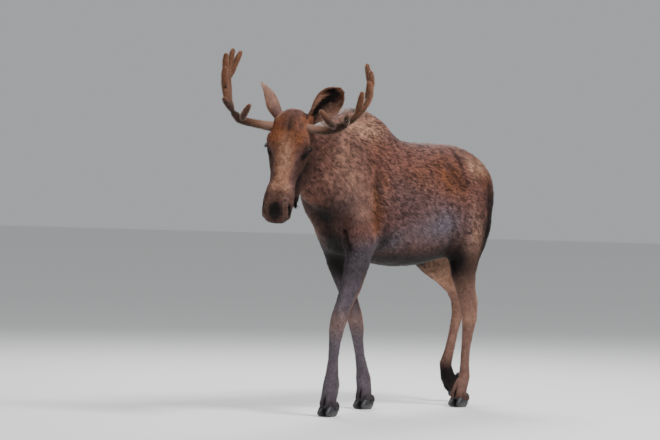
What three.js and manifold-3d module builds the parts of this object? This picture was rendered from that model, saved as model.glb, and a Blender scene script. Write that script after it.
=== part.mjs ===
// A young bull moose in velvet, life size, walking: a still model such as a museum shows.
// Millimetres. +X is the way the body heads, +Y its left side, +Z up, and the floor is at 0.
import * as THREE from "three";
import { mergeVertices } from "three/addons/utils/BufferGeometryUtils.js";
import Module from "manifold-3d";

const wasm = await Module();
wasm.setup();

// ---------------------------------------------------------------- driving dimensions
const CUT = 0.3; // gap left between two parts of the body
const FAR = 4000; // side of a cutting block, larger than the whole animal
const LEFT = 1;
const RIGHT = -1;

// Trunk: height of the back and the belly line and half the width, from rump to chest
const trunkSections = [
  { x: -794, back: 1370, belly: 1190, half: 60, crest: 0 },
  { x: -766, back: 1454, belly: 1104, half: 130, crest: 0 },
  { x: -695, back: 1520, belly: 1036, half: 188, crest: -0.05 },
  { x: -580, back: 1568, belly: 965, half: 222, crest: -0.14 },
  { x: -430, back: 1585, belly: 925, half: 240, crest: -0.18 },
  { x: -230, back: 1585, belly: 870, half: 258, crest: -0.2 },
  { x: -20, back: 1587, belly: 838, half: 264, crest: -0.24 },
  { x: 150, back: 1608, belly: 842, half: 258, crest: -0.36 },
  { x: 290, back: 1674, belly: 862, half: 242, crest: -0.52 },
  { x: 420, back: 1763, belly: 884, half: 226, crest: -0.6 },
  { x: 540, back: 1784, belly: 912, half: 210, crest: -0.56 },
  { x: 660, back: 1724, belly: 960, half: 188, crest: -0.36 },
  { x: 775, back: 1606, belly: 1032, half: 176, crest: -0.16 },
  { x: 868, back: 1450, belly: 1068, half: 142, crest: -0.2 },
];

// Neck: places along its middle, half its width and half its height
const neckSections = [
  { at: [430, 0, 1395], wide: 190, deep: 330, egg: -0.25 },
  { at: [610, -4, 1400], wide: 166, deep: 292, egg: -0.2 },
  { at: [770, -14, 1430], wide: 138, deep: 238, egg: -0.12 },
  { at: [900, -20, 1486], wide: 116, deep: 190, egg: -0.06 },
  { at: [1000, -14, 1548], wide: 100, deep: 150, egg: 0 },
  { at: [1070, 12, 1580], wide: 84, deep: 116, egg: 0 },
];

// Head: its turn to the left, nod and roll, in degrees, and the place of the poll
const head = { turn: 28.5, nod: 70.4, roll: 5.2, poll: [1101, 42, 1736] };

// Head sections: distance down the face from the poll, brow and throat lines, half width
const headSections = [
  { down: -34, front: -40, back: -100, half: 46, jaw: 0, square: 2 },
  { down: -4, front: -10, back: -146, half: 80, jaw: 0, square: 2.3 },
  { down: 60, front: 12, back: -196, half: 102, jaw: -0.12, square: 2.6 },
  { down: 130, front: 22, back: -220, half: 111, jaw: -0.22, square: 2.6 },
  { down: 200, front: 20, back: -228, half: 118, jaw: -0.28, square: 2.5 },
  { down: 262, front: 10, back: -224, half: 104, jaw: -0.2, square: 2.4 },
  { down: 335, front: 4, back: -202, half: 87, jaw: -0.1, square: 2.2 },
  { down: 415, front: 8, back: -172, half: 77, jaw: -0.06, square: 2.2 },
  { down: 480, front: 19, back: -148, half: 81, jaw: -0.08, square: 2.3 },
  { down: 536, front: 27, back: -134, half: 87, jaw: -0.06, square: 2.4 },
  { down: 595, front: 27, back: -124, half: 82, jaw: -0.06, square: 2.7 },
  { down: 645, front: 14, back: -112, half: 78, jaw: -0.06, square: 2.8 },
  { down: 672, front: -10, back: -88, half: 58, jaw: 0, square: 2.5 },
];
const eye = { radius: 19, down: 203, side: 106, front: -56 };

// Legs: places down the middle of each leg with half its width and half its depth.
// A foot stands at a place, turned by an angle, and is tipped when only its toe touches.
const legs = {
  foreleg_left: {
    side: LEFT,
    sections: [
      [560, 118, 1370, 70, 130], [590, 138, 1180, 92, 150], [610, 160, 1010, 84, 128],
      [636, 166, 900, 68, 94], [694, 166, 740, 54, 70], [758, 160, 620, 45, 55],
      [802, 157, 529, 47, 52], [810, 149, 455, 36, 41], [814, 140, 340, 29, 32],
      [814, 131, 232, 37, 43], [816, 128, 165, 47, 56],
    ],
    foot: { at: [829, 124, 0], turn: 8, tip: 0, size: 1.0 },
    reach: [500, 1020],
    top: { x: 640, z: 866, slope: 0 },
    knee: 480,
  },
  foreleg_right: {
    side: RIGHT,
    sections: [
      [520, -118, 1370, 70, 130], [520, -138, 1180, 88, 136], [462, -158, 1010, 76, 98],
      [404, -164, 880, 60, 72], [342, -148, 740, 50, 62], [288, -134, 600, 43, 51],
      [258, -126, 510, 46, 51], [238, -130, 440, 34, 39], [204, -138, 330, 28, 31],
      [168, -142, 226, 35, 40], [158, -138, 158, 45, 52],
    ],
    foot: { at: [183, -112, 0], turn: 6, tip: 0, size: 1.0 },
    reach: [60, 560],
    top: { x: 400, z: 866, slope: 0 },
    knee: 462,
  },
  hindleg_left: {
    side: LEFT,
    sections: [
      [-580, 108, 1400, 92, 176], [-538, 134, 1240, 112, 214], [-474, 156, 1075, 102, 176],
      [-406, 174, 930, 84, 136], [-388, 184, 800, 62, 98], [-418, 188, 680, 46, 72],
      [-454, 188, 578, 43, 70], [-452, 180, 470, 34, 43], [-454, 164, 360, 27, 31],
      [-466, 148, 240, 27, 32], [-476, 138, 160, 36, 42],
    ],
    foot: { at: [-428, 140, 0], turn: 6, tip: 0, size: 1 },
    reach: [-640, -260],
    top: { x: -402, z: 920, slope: 0.45 },
    knee: 500,
  },
  hindleg_right: {
    side: RIGHT,
    sections: [
      [-580, -108, 1400, 92, 176], [-560, -136, 1240, 112, 220], [-505, -156, 1085, 112, 196],
      [-500, -158, 962, 108, 172], [-566, -164, 872, 84, 118], [-682, -164, 782, 54, 76],
      [-790, -154, 668, 40, 52], [-804, -148, 570, 34, 46], [-768, -150, 440, 27, 32],
      [-730, -158, 300, 29, 35], [-702, -163, 214, 39, 46],
    ],
    foot: { at: [-826, -150, 98], turn: 2, tip: 70, size: 1.04 },
    reach: [-980, -380],
    top: { x: -500, z: 940, slope: 0.45 },
    knee: 585,
  },
};

// Hoof: two claws side by side, each with places forward of the foot, and a sloping hair line
const claw = {
  apart: 24,
  splay: 0.08,
  sections: [
    { ahead: -56, up: 22, half: 17, tall: 20 },
    { ahead: -36, up: 28, half: 24, tall: 34 },
    { ahead: -4, up: 32, half: 26, tall: 42 },
    { ahead: 30, up: 31, half: 24, tall: 40 },
    { ahead: 56, up: 25, half: 19, tall: 32 },
    { ahead: 76, up: 10, half: 10, tall: 14 },
  ],
  hairLine: { up: 52, slope: 15 },
};
// Pastern: places forward of the foot and up, with half the width and half the depth, above the claws
const pasternSections = [
  { ahead: 4, up: 98, half: 42, deep: 48 },
  { ahead: 13, up: 62, half: 46, deep: 52 },
  { ahead: 20, up: 36, half: 44, deep: 52 },
];
// Dewclaws: places forward of the foot and up, down the middle of each
const dewclaw = { apart: 26, radius: 13, places: [[-14, 90], [-56, 72], [-70, 34]] };

// Antlers: places out from the middle of the head, ahead of the pedicles and above them
const pedicles = { down: 90, front: -40 };
const antlers = {
  left: {
    side: LEFT,
    beam: [[61, 0, 0, 30], [91, 2, 0, 26], [163, 5, -4, 21.5], [229, 15, 0, 20.5], [275, 10, 24, 23],
      [317, -6, 46, 23]],
    palm: [[309, -4, 42, 20, 17], [347, -22, 84, 33, 16], [383, -46, 132, 50, 15],
      [408, -78, 186, 60, 14], [415, -104, 236, 60, 13], [411, -124, 268, 42, 12]],
    tines: [
      { from: [363, -10, 110], to: [384, 14, 238] },
      { from: [403, -70, 190], to: [404, -66, 300] },
      { from: [411, -112, 236], to: [395, -142, 362] },
      { from: [409, -140, 236], to: [355, -214, 402] },
    ],
    guard: { from: [309, 4, 44], to: [327, 96, 92] },
    brow: { from: [253, 14, 14], bend: [231, 92, 42], to: [183, 172, 106] },
  },
  right: {
    side: RIGHT,
    beam: [[75, 0, -14, 33], [109, 2, -11, 27], [182, 5, -6, 22], [255, 15, 2, 20.5], [303, 10, 14, 23],
      [345, -6, 50, 23]],
    palm: [[337, -4, 42, 20, 17], [375, -26, 98, 34, 16], [395, -52, 150, 52, 15],
      [411, -80, 204, 64, 14], [417, -104, 250, 64, 13], [413, -120, 282, 44, 12]],
    tines: [
      { from: [401, -20, 176], to: [414, 4, 300] },
      { from: [413, -64, 230], to: [429, -68, 378] },
      { from: [415, -112, 240], to: [405, -146, 410] },
      { from: [409, -144, 240], to: [371, -214, 402] },
    ],
    guard: { from: [341, 4, 52], to: [380, 116, 120] },
    brow: { from: [277, 14, 10], bend: [259, 90, 36], to: [217, 158, 98] },
  },
};
const tineRadius = 18;

// Ears: root and tip in the antlers' directions, which way the hollow looks, widths along the leaf
const ears = {
  left: {
    side: LEFT,
    root: [96, -52, 50],
    tip: [256, -70, 238],
    looks: [0.3, 0.95, 0],
    widths: [1.05, 1.12, 1.16, 1.2, 1.16, 0.96, 0.34],
  },
  right: {
    side: RIGHT,
    root: [78, -52, 72],
    tip: [228, -182, 229],
    looks: [0.86, -0.42, 0.1],
    widths: [0.98, 1.12, 1.14, 1.04, 0.86, 0.6, 0.14],
  },
};
const earLeaf = {
  half: 76,
  skin: 6,
  rolls: [2.6, 2.0, 1.4, 1.1, 1.0, 0.95, 0.9],
};

// Tail and the bell, the flap of skin under the throat
const tailSections = [
  { at: [-752, 0, 1450], wide: 40, deep: 24 },
  { at: [-796, 0, 1420], wide: 38, deep: 24 },
  { at: [-812, 0, 1366], wide: 34, deep: 20 },
  { at: [-812, 0, 1304], wide: 22, deep: 14 },
];
const bellSections = [
  { at: [1004, 16, 1420], wide: 40, deep: 76 },
  { at: [1044, 36, 1330], wide: 33, deep: 60 },
  { at: [1066, 46, 1262], wide: 26, deep: 42 },
  { at: [1078, 50, 1190], wide: 15, deep: 22 },
];

// Where the body is parted: a place in head directions or on the body, and the way the part lies
const cuts = {
  jaw: { place: [345, -212, 0], brow: -0.937, muzzle: 0.35 }, // the bell's upper end, along the jaw
  bell: { below: 1335, low: [985, -100, 1100], high: [1200, 200, 1400] },
  tail: { behind: -800, low: [-950, -100, 1200], high: [-780, 100, 1500] },
  nape: { place: [133, -161, 0], brow: 0.929, muzzle: 0.37 }, // behind the ears and the jaw
  neckFoot: { place: [770, 0, 1400], ahead: [0.9, 0, 0.436] }, // before the shoulder
  front: { low: [560, -600, 950], high: [1700, 600, 2400] }, // what the nape and neck cuts reach
  leg: { fromMiddle: 20, widest: 600, inner: 92, below: -10, hoofTop: 190, overKnee: 9, top: 1060 },
  antler: {
    low: [0, -1000, 1000],
    high: [2500, 1500, 2500],
    brow: { ahead: 40, inside: 291 }, // the brow tine leaves the beam in front of it
    palm: { out: 314, under: 8, outward: 0.75, upward: 0.66 }, // the palm starts at the beam's bend
  },
};

const COLOURS = {
  coat: { color: 0x5a3c2c, roughness: 0.85, metalness: 0 },
  face: { color: 0x7a4a2e, roughness: 0.8, metalness: 0 },
  shank: { color: 0x4a403e, roughness: 0.8, metalness: 0 },
  hoof: { color: 0x1f1c1c, roughness: 0.5, metalness: 0 },
  velvet: { color: 0x6b4230, roughness: 0.95, metalness: 0 },
  eye: { color: 0x120b08, roughness: 0.1, metalness: 0 },
};

// ---------------------------------------------------------------- solids
const vec = (p) => new THREE.Vector3(...p);

function toSolid(geometry) {
  const bare = geometry.clone();
  bare.deleteAttribute("normal");
  bare.deleteAttribute("uv");
  const merged = mergeVertices(bare, 1e-4);
  const triVerts = Uint32Array.from(merged.index.array);
  const vertProperties = Float32Array.from(merged.attributes.position.array);
  if (signedVolume(vertProperties, triVerts) < 0) triVerts.reverse();
  return new wasm.Manifold(new wasm.Mesh({ numProp: 3, vertProperties, triVerts }));
}

function signedVolume(points, triangles) {
  const corner = (i) => new THREE.Vector3().fromArray(points, 3 * i);
  let volume = 0;
  for (let t = 0; t < triangles.length; t += 3) {
    const [a, b, c] = [0, 1, 2].map((k) => corner(triangles[t + k]));
    volume += a.dot(b.cross(c)) / 6;
  }
  return volume;
}

function toGeometry(solid) {
  const mesh = solid.getMesh();
  const geometry = new THREE.BufferGeometry();
  geometry.setAttribute("position", new THREE.BufferAttribute(mesh.vertProperties, 3));
  geometry.setIndex(new THREE.BufferAttribute(mesh.triVerts, 1));
  geometry.computeVertexNormals();
  return geometry;
}

const join = (solids) => solids.reduce((whole, solid) => whole.add(solid));

// A smooth run of values through the sections, read by section number
function run(values) {
  const curve = new THREE.CatmullRomCurve3(values.map(vec), false, "centripetal");
  return (s) => curve.getPoint(THREE.MathUtils.clamp(s / (values.length - 1), 0, 1));
}

// A round-ended body: the rings of a sphere are moved onto sections along a smooth path.
// `across` is the direction of the half widths; the half depths are square to it and the path.
function loft(sections, across, around, rings) {
  const last = sections.length - 1;
  const place = run(sections.map((section) => section.at));
  const size = run(sections.map((section) => [section.wide, section.deep, 0]));
  const form = run(sections.map((section, i) => [section.egg ?? 0, section.square ?? 2, i]));
  const geometry = new THREE.SphereGeometry(1, around, rings);
  const position = geometry.attributes.position;
  for (let i = 0; i < position.count; i += 1) {
    const ring = Math.floor(i / (around + 1));
    const turn = (2 * Math.PI * (i % (around + 1))) / around;
    const { share, fullness } = ringPlace(ring, rings);
    const s = last * share;
    const before = place(Math.max(0, s - 0.05));
    const along = place(Math.min(last, s + 0.05)).sub(before).normalize();
    const side = across.clone().addScaledVector(along, -across.dot(along)).normalize();
    const front = new THREE.Vector3().crossVectors(side, along);
    const { x: egg, y: square } = form(s);
    const [c, n] = [Math.cos(turn), Math.sin(turn)].map((v) => Math.sign(v) * Math.abs(v) ** (2 / square));
    const { x: wide, y: deep } = size(s);
    const point = place(s)
      .addScaledVector(side, fullness * wide * c * (1 + egg * n))
      .addScaledVector(front, fullness * deep * n);
    position.setXYZ(i, point.x, point.y, point.z);
  }
  return toSolid(geometry);
}

// How far along a ring lies and how full it is: the ring next to an end closes the body roundly
function ringPlace(ring, rings) {
  const fromEnd = Math.min(ring, rings - ring);
  const nearer = fromEnd === 1 ? 0.6 * Math.sign(ring - rings / 2) : 0;
  return { share: (ring + nearer) / rings, fullness: [0, 0.74][fromEnd] ?? 1 };
}

// A half space: all that lies on the side of a plane that its normal points to
function beyond(point, normal, gap = 0) {
  const block = new THREE.BoxGeometry(FAR, FAR, FAR).translate(0, 0, FAR / 2 + gap);
  block.applyQuaternion(new THREE.Quaternion().setFromUnitVectors(new THREE.Vector3(0, 0, 1), normal));
  return toSolid(block.translate(...point.toArray()));
}

function block(low, high) {
  const size = high.map((v, i) => v - low[i]);
  return toSolid(new THREE.BoxGeometry(...size).translate(...low.map((v, i) => v + size[i] / 2)));
}

// ---------------------------------------------------------------- directions of the head
const turn = THREE.MathUtils.degToRad(head.turn);
const nod = THREE.MathUtils.degToRad(head.nod);
const lean = THREE.MathUtils.degToRad(head.roll);
const heading = new THREE.Vector3(Math.cos(turn), Math.sin(turn), 0);
const headLeft = new THREE.Vector3(-Math.sin(turn), Math.cos(turn), 0)
  .multiplyScalar(Math.cos(lean))
  .add(new THREE.Vector3(0, 0, -Math.sin(lean)));
const headUp = new THREE.Vector3().crossVectors(heading, headLeft);
const muzzleWard = heading.clone().multiplyScalar(Math.cos(nod)).addScaledVector(headUp, -Math.sin(nod));
const browWard = heading.clone().multiplyScalar(Math.sin(nod)).addScaledVector(headUp, Math.cos(nod));

// A place on the head: down the face from the poll, out of the brow, and to its left
function onHead(down, front, left) {
  return vec(head.poll)
    .addScaledVector(muzzleWard, down)
    .addScaledVector(browWard, front)
    .addScaledVector(headLeft, left);
}

// A place by the antlers: out to a side, ahead and above, from midway between the pedicles
function byAntlers(side, [out, ahead, up]) {
  return onHead(pedicles.down, pedicles.front, side * out)
    .addScaledVector(heading, ahead)
    .addScaledVector(headUp, up);
}

// ---------------------------------------------------------------- the body's masses
function trunk() {
  const sections = trunkSections.map(({ x, back, belly, half, crest }) => ({
    at: [x, 0, (back + belly) / 2],
    wide: half,
    deep: (back - belly) / 2,
    egg: -crest,
    square: 2.1,
  }));
  return loft(sections, new THREE.Vector3(0, 1, 0), 20, 18);
}

function neck(extra = 0) {
  const sections = neckSections.map(({ at, wide, deep, egg }) => ({
    at,
    wide: wide + extra,
    deep: deep + extra,
    egg: -egg,
  }));
  return loft(sections, new THREE.Vector3(0, 1, 0), 18, 7);
}

function skull(extra = 0) {
  const sections = headSections.map(({ down, front, back, half, jaw, square }) => ({
    at: onHead(down, (front + back) / 2, 0).toArray(),
    wide: half + extra,
    deep: (front - back) / 2 + extra,
    egg: jaw,
    square,
  }));
  return loft(sections, headLeft, 18, 18);
}

// ---------------------------------------------------------------- feet and legs
function footMatrix({ at, turn: yaw, tip, size }) {
  const angles = new THREE.Euler(0, THREE.MathUtils.degToRad(tip), THREE.MathUtils.degToRad(yaw), "ZYX");
  const turned = new THREE.Quaternion().setFromEuler(angles);
  return new THREE.Matrix4().compose(vec(at), turned, vec([size, size, size]));
}

function foot(leg) {
  const matrix = footMatrix(leg.foot);
  const inFoot = (x, y, z) => vec([x, y, z]).applyMatrix4(matrix);
  const across = new THREE.Vector3(0, 1, 0).transformDirection(matrix);
  const claws = [LEFT, RIGHT].map((side) => {
    const sections = claw.sections.map(({ ahead, up, half, tall }) => ({
      at: inFoot(ahead, side * (claw.apart + claw.splay * Math.max(0, ahead)), up).toArray(),
      wide: half * leg.foot.size,
      deep: tall * leg.foot.size,
      square: 2.4,
    }));
    return loft(sections, across, 8, 6);
  });
  const dewclaws = [LEFT, RIGHT].map((side) => {
    const sections = dewclaw.places.map(([ahead, up]) => ({
      at: inFoot(ahead, side * dewclaw.apart, up).toArray(),
      wide: dewclaw.radius,
      deep: dewclaw.radius,
    }));
    return loft(sections, across, 5, 3);
  });
  const hair = claw.hairLine;
  const slope = THREE.MathUtils.degToRad(hair.slope);
  return {
    claws: join(claws).intersect(beyond(vec([0, 0, 0]), new THREE.Vector3(0, 0, 1))),
    dewclaws: join(dewclaws),
    pastern: pasternSections.map(({ ahead, up, half, deep }) => ({
      at: inFoot(ahead, 0, up).toArray(),
      wide: half * leg.foot.size,
      deep: deep * leg.foot.size,
      square: 2.3,
    })),
    line: inFoot(0, 0, hair.up),
    down: new THREE.Vector3(Math.sin(slope), 0, -Math.cos(slope)).transformDirection(matrix),
  };
}

function limb(leg) {
  const { pastern, claws, dewclaws, line, down } = foot(leg);
  const shaft = leg.sections.map(([x, y, z, wide, deep]) => ({ at: [x, y, z], wide, deep, square: 2.1 }));
  const column = loft([...shaft, ...pastern], new THREE.Vector3(0, 1, 0), 10, 16);
  const floor = beyond(vec([0, 0, 0]), new THREE.Vector3(0, 0, 1));
  return { whole: join([column, dewclaws]).intersect(floor).add(claws), line, down };
}

// ---------------------------------------------------------------- antlers and ears
function rod(points, radius, around = 6, rings = 6) {
  const sections = points.map((point, i) => ({
    at: point.toArray(),
    wide: radius * (1 - (0.1 * i) / (points.length - 1)),
    deep: radius * (1 - (0.1 * i) / (points.length - 1)),
  }));
  return loft(sections, heading.clone().addScaledVector(headUp, 0.3), around, rings);
}

function antler({ side, beam, palm, tines, guard, brow }) {
  const toeOut = heading.clone().addScaledVector(headLeft, side * 0.16).normalize();
  const place = (p) => byAntlers(side, p);
  const round = beam.map(([out, ahead, up, radius]) => ({
    at: place([out, ahead, up]).toArray(),
    wide: radius,
    deep: radius,
  }));
  const flat = palm.map(([out, ahead, up, wide, deep]) => ({
    at: place([out, ahead, up]).toArray(),
    wide,
    deep,
    square: 2.2,
  }));
  const fingers = tines.map(({ from, to }) => {
    const middle = from.map((v, i) => (v + to[i]) / 2 + (i === 0 ? 4 : 0));
    return rod([from, middle, to].map(place), tineRadius);
  });
  fingers.push(rod([guard.from, guard.to].map(place), tineRadius));
  return {
    beam: loft(round, heading, 8, 9),
    palm: join([loft(flat, toeOut, 9, 7), ...fingers]),
    brow: rod([brow.from, brow.bend, brow.to].map(place), tineRadius + 0.5, 6, 7),
  };
}

// An ear: a thin leaf, rolled into a tube at its root and opening towards its tip
function ear({ side, root, tip, looks, widths }) {
  const [foot, end] = [byAntlers(side, root), byAntlers(side, tip)];
  const along = end.clone().sub(foot).normalize();
  const [out, ahead, up] = looks;
  const open = headLeft.clone().multiplyScalar(side * out);
  open.addScaledVector(heading, ahead).addScaledVector(headUp, up);
  open.addScaledVector(along, -open.dot(along)).normalize();
  const across = new THREE.Vector3().crossVectors(along, open);
  const width = run(widths.map((w, i) => [w, i, 0]));
  const roll = run(earLeaf.rolls.map((r, i) => [r, i, 0]));
  const geometry = new THREE.BoxGeometry(1, 1, 1, 6, 8, 1);
  const position = geometry.attributes.position;
  for (let i = 0; i < position.count; i += 1) {
    const s = position.getY(i) + 0.5;
    const v = 2 * position.getX(i);
    const layer = position.getZ(i);
    const spread = roll(6 * s).x;
    const radius = (earLeaf.half * width(6 * s).x) / spread;
    const reach = radius + layer * earLeaf.skin * (1 - 0.4 * s);
    const angle = v * spread;
    const point = foot.clone()
      .addScaledVector(along, s * foot.distanceTo(end))
      .addScaledVector(across, reach * Math.sin(angle))
      .addScaledVector(open, radius * 0.6 - reach * Math.cos(angle));
    position.setXYZ(i, point.x, point.y, point.z);
  }
  return toSolid(geometry);
}

// ---------------------------------------------------------------- the whole, then its parts
const down = new THREE.Vector3(0, 0, -1);
const across = new THREE.Vector3(0, 1, 0);
const model = new THREE.Group();

function keep(name, solid, finish) {
  const pieces = solid.decompose().sort((a, b) => b.volume() - a.volume());
  const mesh = new THREE.Mesh(toGeometry(pieces[0]), new THREE.MeshStandardMaterial(COLOURS[finish]));
  mesh.name = name;
  model.add(mesh);
}

// A part beyond all of some planes is taken off a solid, with a thin gap along them
function takeOff(solid, name, finish, planes, reach) {
  const region = (gap) => planes.reduce(
    (left, [point, normal]) => left.intersect(beyond(point, normal, gap)),
    reach,
  );
  keep(name, solid.intersect(region(CUT)), finish);
  return solid.subtract(region(0));
}

const limbs = Object.fromEntries(Object.entries(legs).map(([name, leg]) => [name, limb(leg)]));
let body = join([
  trunk(),
  neck(),
  skull(),
  loft(tailSections, across, 8, 5),
  loft(bellSections, headLeft, 8, 5),
  ...Object.values(limbs).map((item) => item.whole),
]);

for (const [name, leg] of Object.entries(legs)) {
  const { line, down: footDown } = limbs[name];
  const { fromMiddle, widest, inner, below, hoofTop, overKnee, top } = cuts.leg;
  const [nearSide, farSide] = [leg.side * fromMiddle, leg.side * widest];
  const reach = (high) => block(
    [leg.reach[0], Math.min(nearSide, farSide), below],
    [leg.reach[1], Math.max(nearSide, farSide), high],
  );
  body = takeOff(body, `${name}_hooves`, "hoof", [[line, footDown]], reach(hoofTop));
  const kneeCut = [vec([0, 0, leg.knee]), down];
  body = takeOff(body, `${name}_lower`, "shank", [kneeCut], reach(leg.knee + overKnee));
  const { x, z, slope } = leg.top;
  const thighCut = [vec([x, 0, z]), new THREE.Vector3(-slope, 0, -1).normalize()];
  const innerCut = [vec([0, leg.side * inner, 0]), new THREE.Vector3(0, leg.side, 0)];
  body = takeOff(body, `${name}_upper`, "coat", [thighCut, innerCut], reach(top));
}

// A direction in the plane of the head's middle
function inProfile({ brow, muzzle }) {
  return browWard.clone().multiplyScalar(brow).addScaledVector(muzzleWard, muzzle);
}

const { jaw, bell, tail, nape, neckFoot, front } = cuts;
const jawCut = [onHead(...jaw.place), inProfile(jaw)];
const bellCut = [vec([0, 0, bell.below]), down];
body = takeOff(body, "bell", "coat", [jawCut, bellCut], block(bell.low, bell.high));
const tailCut = [vec([tail.behind, 0, 0]), new THREE.Vector3(-1, 0, 0)];
body = takeOff(body, "tail", "coat", [tailCut], block(tail.low, tail.high));

function eyeball(side, extra) {
  const ball = new THREE.SphereGeometry(eye.radius + extra, 10, 7);
  return toSolid(ball.translate(...onHead(eye.down, eye.front, side * eye.side).toArray()));
}

body = body.subtract(eyeball(LEFT, CUT)).subtract(eyeball(RIGHT, CUT));
const foreBody = block(front.low, front.high);
body = takeOff(body, "head", "face", [[onHead(...nape.place), inProfile(nape)]], foreBody);
const neckCut = [vec(neckFoot.place), vec(neckFoot.ahead).normalize()];
body = takeOff(body, "neck", "coat", [neckCut], foreBody);
keep("trunk", body, "coat");

const flesh = skull(CUT).add(neck(CUT));
for (const [name, plan] of Object.entries(antlers)) {
  const outward = headLeft.clone().multiplyScalar(plan.side);
  const rackReach = block(cuts.antler.low, cuts.antler.high);
  const { beam, palm, brow } = antler(plan);
  let rack = join([beam, palm, brow]).subtract(flesh);

  const browAt = cuts.antler.brow;
  const aheadCut = [byAntlers(plan.side, [0, browAt.ahead, 0]), heading];
  const insideCut = [byAntlers(plan.side, [browAt.inside, 0, 0]), outward.clone().negate()];
  rack = takeOff(rack, `antler_${name}_brow_tine`, "velvet", [aheadCut, insideCut], rackReach);

  const palmAt = cuts.antler.palm;
  const fork = byAntlers(plan.side, [palmAt.out, 0, plan.beam.at(-1)[2] - palmAt.under]);
  const palmWard = outward.clone().multiplyScalar(palmAt.outward).addScaledVector(headUp, palmAt.upward);
  rack = takeOff(rack, `antler_${name}_palm`, "velvet", [[fork, palmWard.normalize()]], rackReach);
  keep(`antler_${name}_beam`, rack, "velvet");
  keep(`ear_${name}`, ear(ears[name]).subtract(flesh), "coat");
  keep(`eye_${name}`, eyeball(plan.side, 0), "eye");
}

// The whole stands on the floor with the middle of its box over the origin
const box = new THREE.Box3().setFromObject(model);
const middle = box.getCenter(new THREE.Vector3());
model.position.set(-middle.x, -middle.y, -box.min.z);

export default model;
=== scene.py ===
# %% [markdown]
# # A young bull moose in velvet
# The frame holds a life-size moose as plain solids. This lesson gives it its looks: one skin with its
# folds, a coat of small mesh tufts over it, wet dark eyes, antlers in velvet, and horn hooves.

# %% Load the frame
import math

import bmesh
import bpy
import numpy as np
from mathutils import Matrix, Vector
from mathutils.bvhtree import BVHTree


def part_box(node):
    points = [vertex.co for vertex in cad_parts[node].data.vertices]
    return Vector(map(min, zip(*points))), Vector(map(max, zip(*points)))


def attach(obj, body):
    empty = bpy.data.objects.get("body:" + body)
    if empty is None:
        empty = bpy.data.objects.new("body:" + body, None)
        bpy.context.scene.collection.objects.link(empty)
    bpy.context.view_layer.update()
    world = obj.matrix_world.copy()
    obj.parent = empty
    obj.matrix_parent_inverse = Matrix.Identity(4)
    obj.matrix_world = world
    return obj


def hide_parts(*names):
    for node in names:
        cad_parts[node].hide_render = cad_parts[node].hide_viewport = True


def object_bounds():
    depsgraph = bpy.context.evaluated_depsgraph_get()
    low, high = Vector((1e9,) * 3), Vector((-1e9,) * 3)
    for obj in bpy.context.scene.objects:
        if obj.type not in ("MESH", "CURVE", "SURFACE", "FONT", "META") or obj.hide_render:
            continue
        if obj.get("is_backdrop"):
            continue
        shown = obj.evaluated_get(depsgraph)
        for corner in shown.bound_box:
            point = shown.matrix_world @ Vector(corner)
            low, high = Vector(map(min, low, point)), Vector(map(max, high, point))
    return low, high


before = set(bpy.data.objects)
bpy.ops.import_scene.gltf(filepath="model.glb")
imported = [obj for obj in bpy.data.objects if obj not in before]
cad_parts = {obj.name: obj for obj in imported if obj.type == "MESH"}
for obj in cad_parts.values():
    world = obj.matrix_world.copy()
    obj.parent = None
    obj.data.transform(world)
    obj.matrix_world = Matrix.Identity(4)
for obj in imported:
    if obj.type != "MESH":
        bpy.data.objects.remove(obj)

LEFT, RIGHT = 1, -1
LEGS = ("foreleg_left", "foreleg_right", "hindleg_left", "hindleg_right")
cad_low, cad_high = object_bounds()
print("solids:", [round(high - low, 3) for low, high in zip(cad_low, cad_high)], "m")

# %% [markdown]
# ## Directions
# An animal is easier to shape in its own directions than in the room's. Body places are metres ahead,
# to the left and up, from a point on the floor under the belly. Head places are metres down the face
# from the poll, out of the brow, and to the left. The left eye of the frame ties both to the solids.

# %% The body's and the head's own directions
HEAD_TURN, HEAD_NOD, HEAD_LEAN = (math.radians(angle) for angle in (28.5, 70.4, 5.2))
POLL = np.array((1.101, 0.042, 1.736))
EYE = np.array((0.203, -0.056, 0.106))

heading = np.array((math.cos(HEAD_TURN), math.sin(HEAD_TURN), 0))
level_left = np.array((-math.sin(HEAD_TURN), math.cos(HEAD_TURN), 0))
head_left = level_left * math.cos(HEAD_LEAN) - np.array((0, 0, math.sin(HEAD_LEAN)))
head_up = np.cross(heading, head_left)
muzzle_ward = heading * math.cos(HEAD_NOD) - head_up * math.sin(HEAD_NOD)
brow_ward = heading * math.sin(HEAD_NOD) + head_up * math.cos(HEAD_NOD)
HEAD = np.array((muzzle_ward, brow_ward, head_left))

eye_low, eye_high = (np.array(corner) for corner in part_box("eye_left"))
ORIGIN = (eye_low + eye_high) / 2 - EYE @ HEAD - POLL
print("the body's own origin:", ORIGIN.round(4))


def on_body(points):
    """Body places of points in the frame."""
    return points - ORIGIN


def on_head(points):
    """Head places of points in the frame."""
    return (points - ORIGIN - POLL) @ HEAD.T


def from_head(place):
    """The frame's point at a head place."""
    return np.asarray(place) @ HEAD + ORIGIN + POLL


def folded(places, axis):
    """The same places with the right side laid over the left one."""
    over = places.copy()
    over[:, axis] = np.abs(over[:, axis])
    return over


def by_antlers(side, place):
    """A point out to a side, ahead and above, from midway between the antlers' roots."""
    out, ahead, up = place
    return from_head((0.090, -0.040, side * out)) + heading * ahead + head_up * up


# %% [markdown]
# ## Camera
# The animal is seen from its left front, from 18 m away and from the height of a man's chest, with a
# long lens, which is what keeps the near and far legs almost the same size.

# %% Camera
CAMERA_PLACE = (14.486, 10.682, 1.266)  # in body places
CAMERA_YAW, CAMERA_PITCH, CAMERA_ROLL = (math.radians(a) for a in (217.7446, -0.5003, 0.9995))
CAMERA_LENS = 165.97  # mm, on a sensor 36 mm wide

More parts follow.
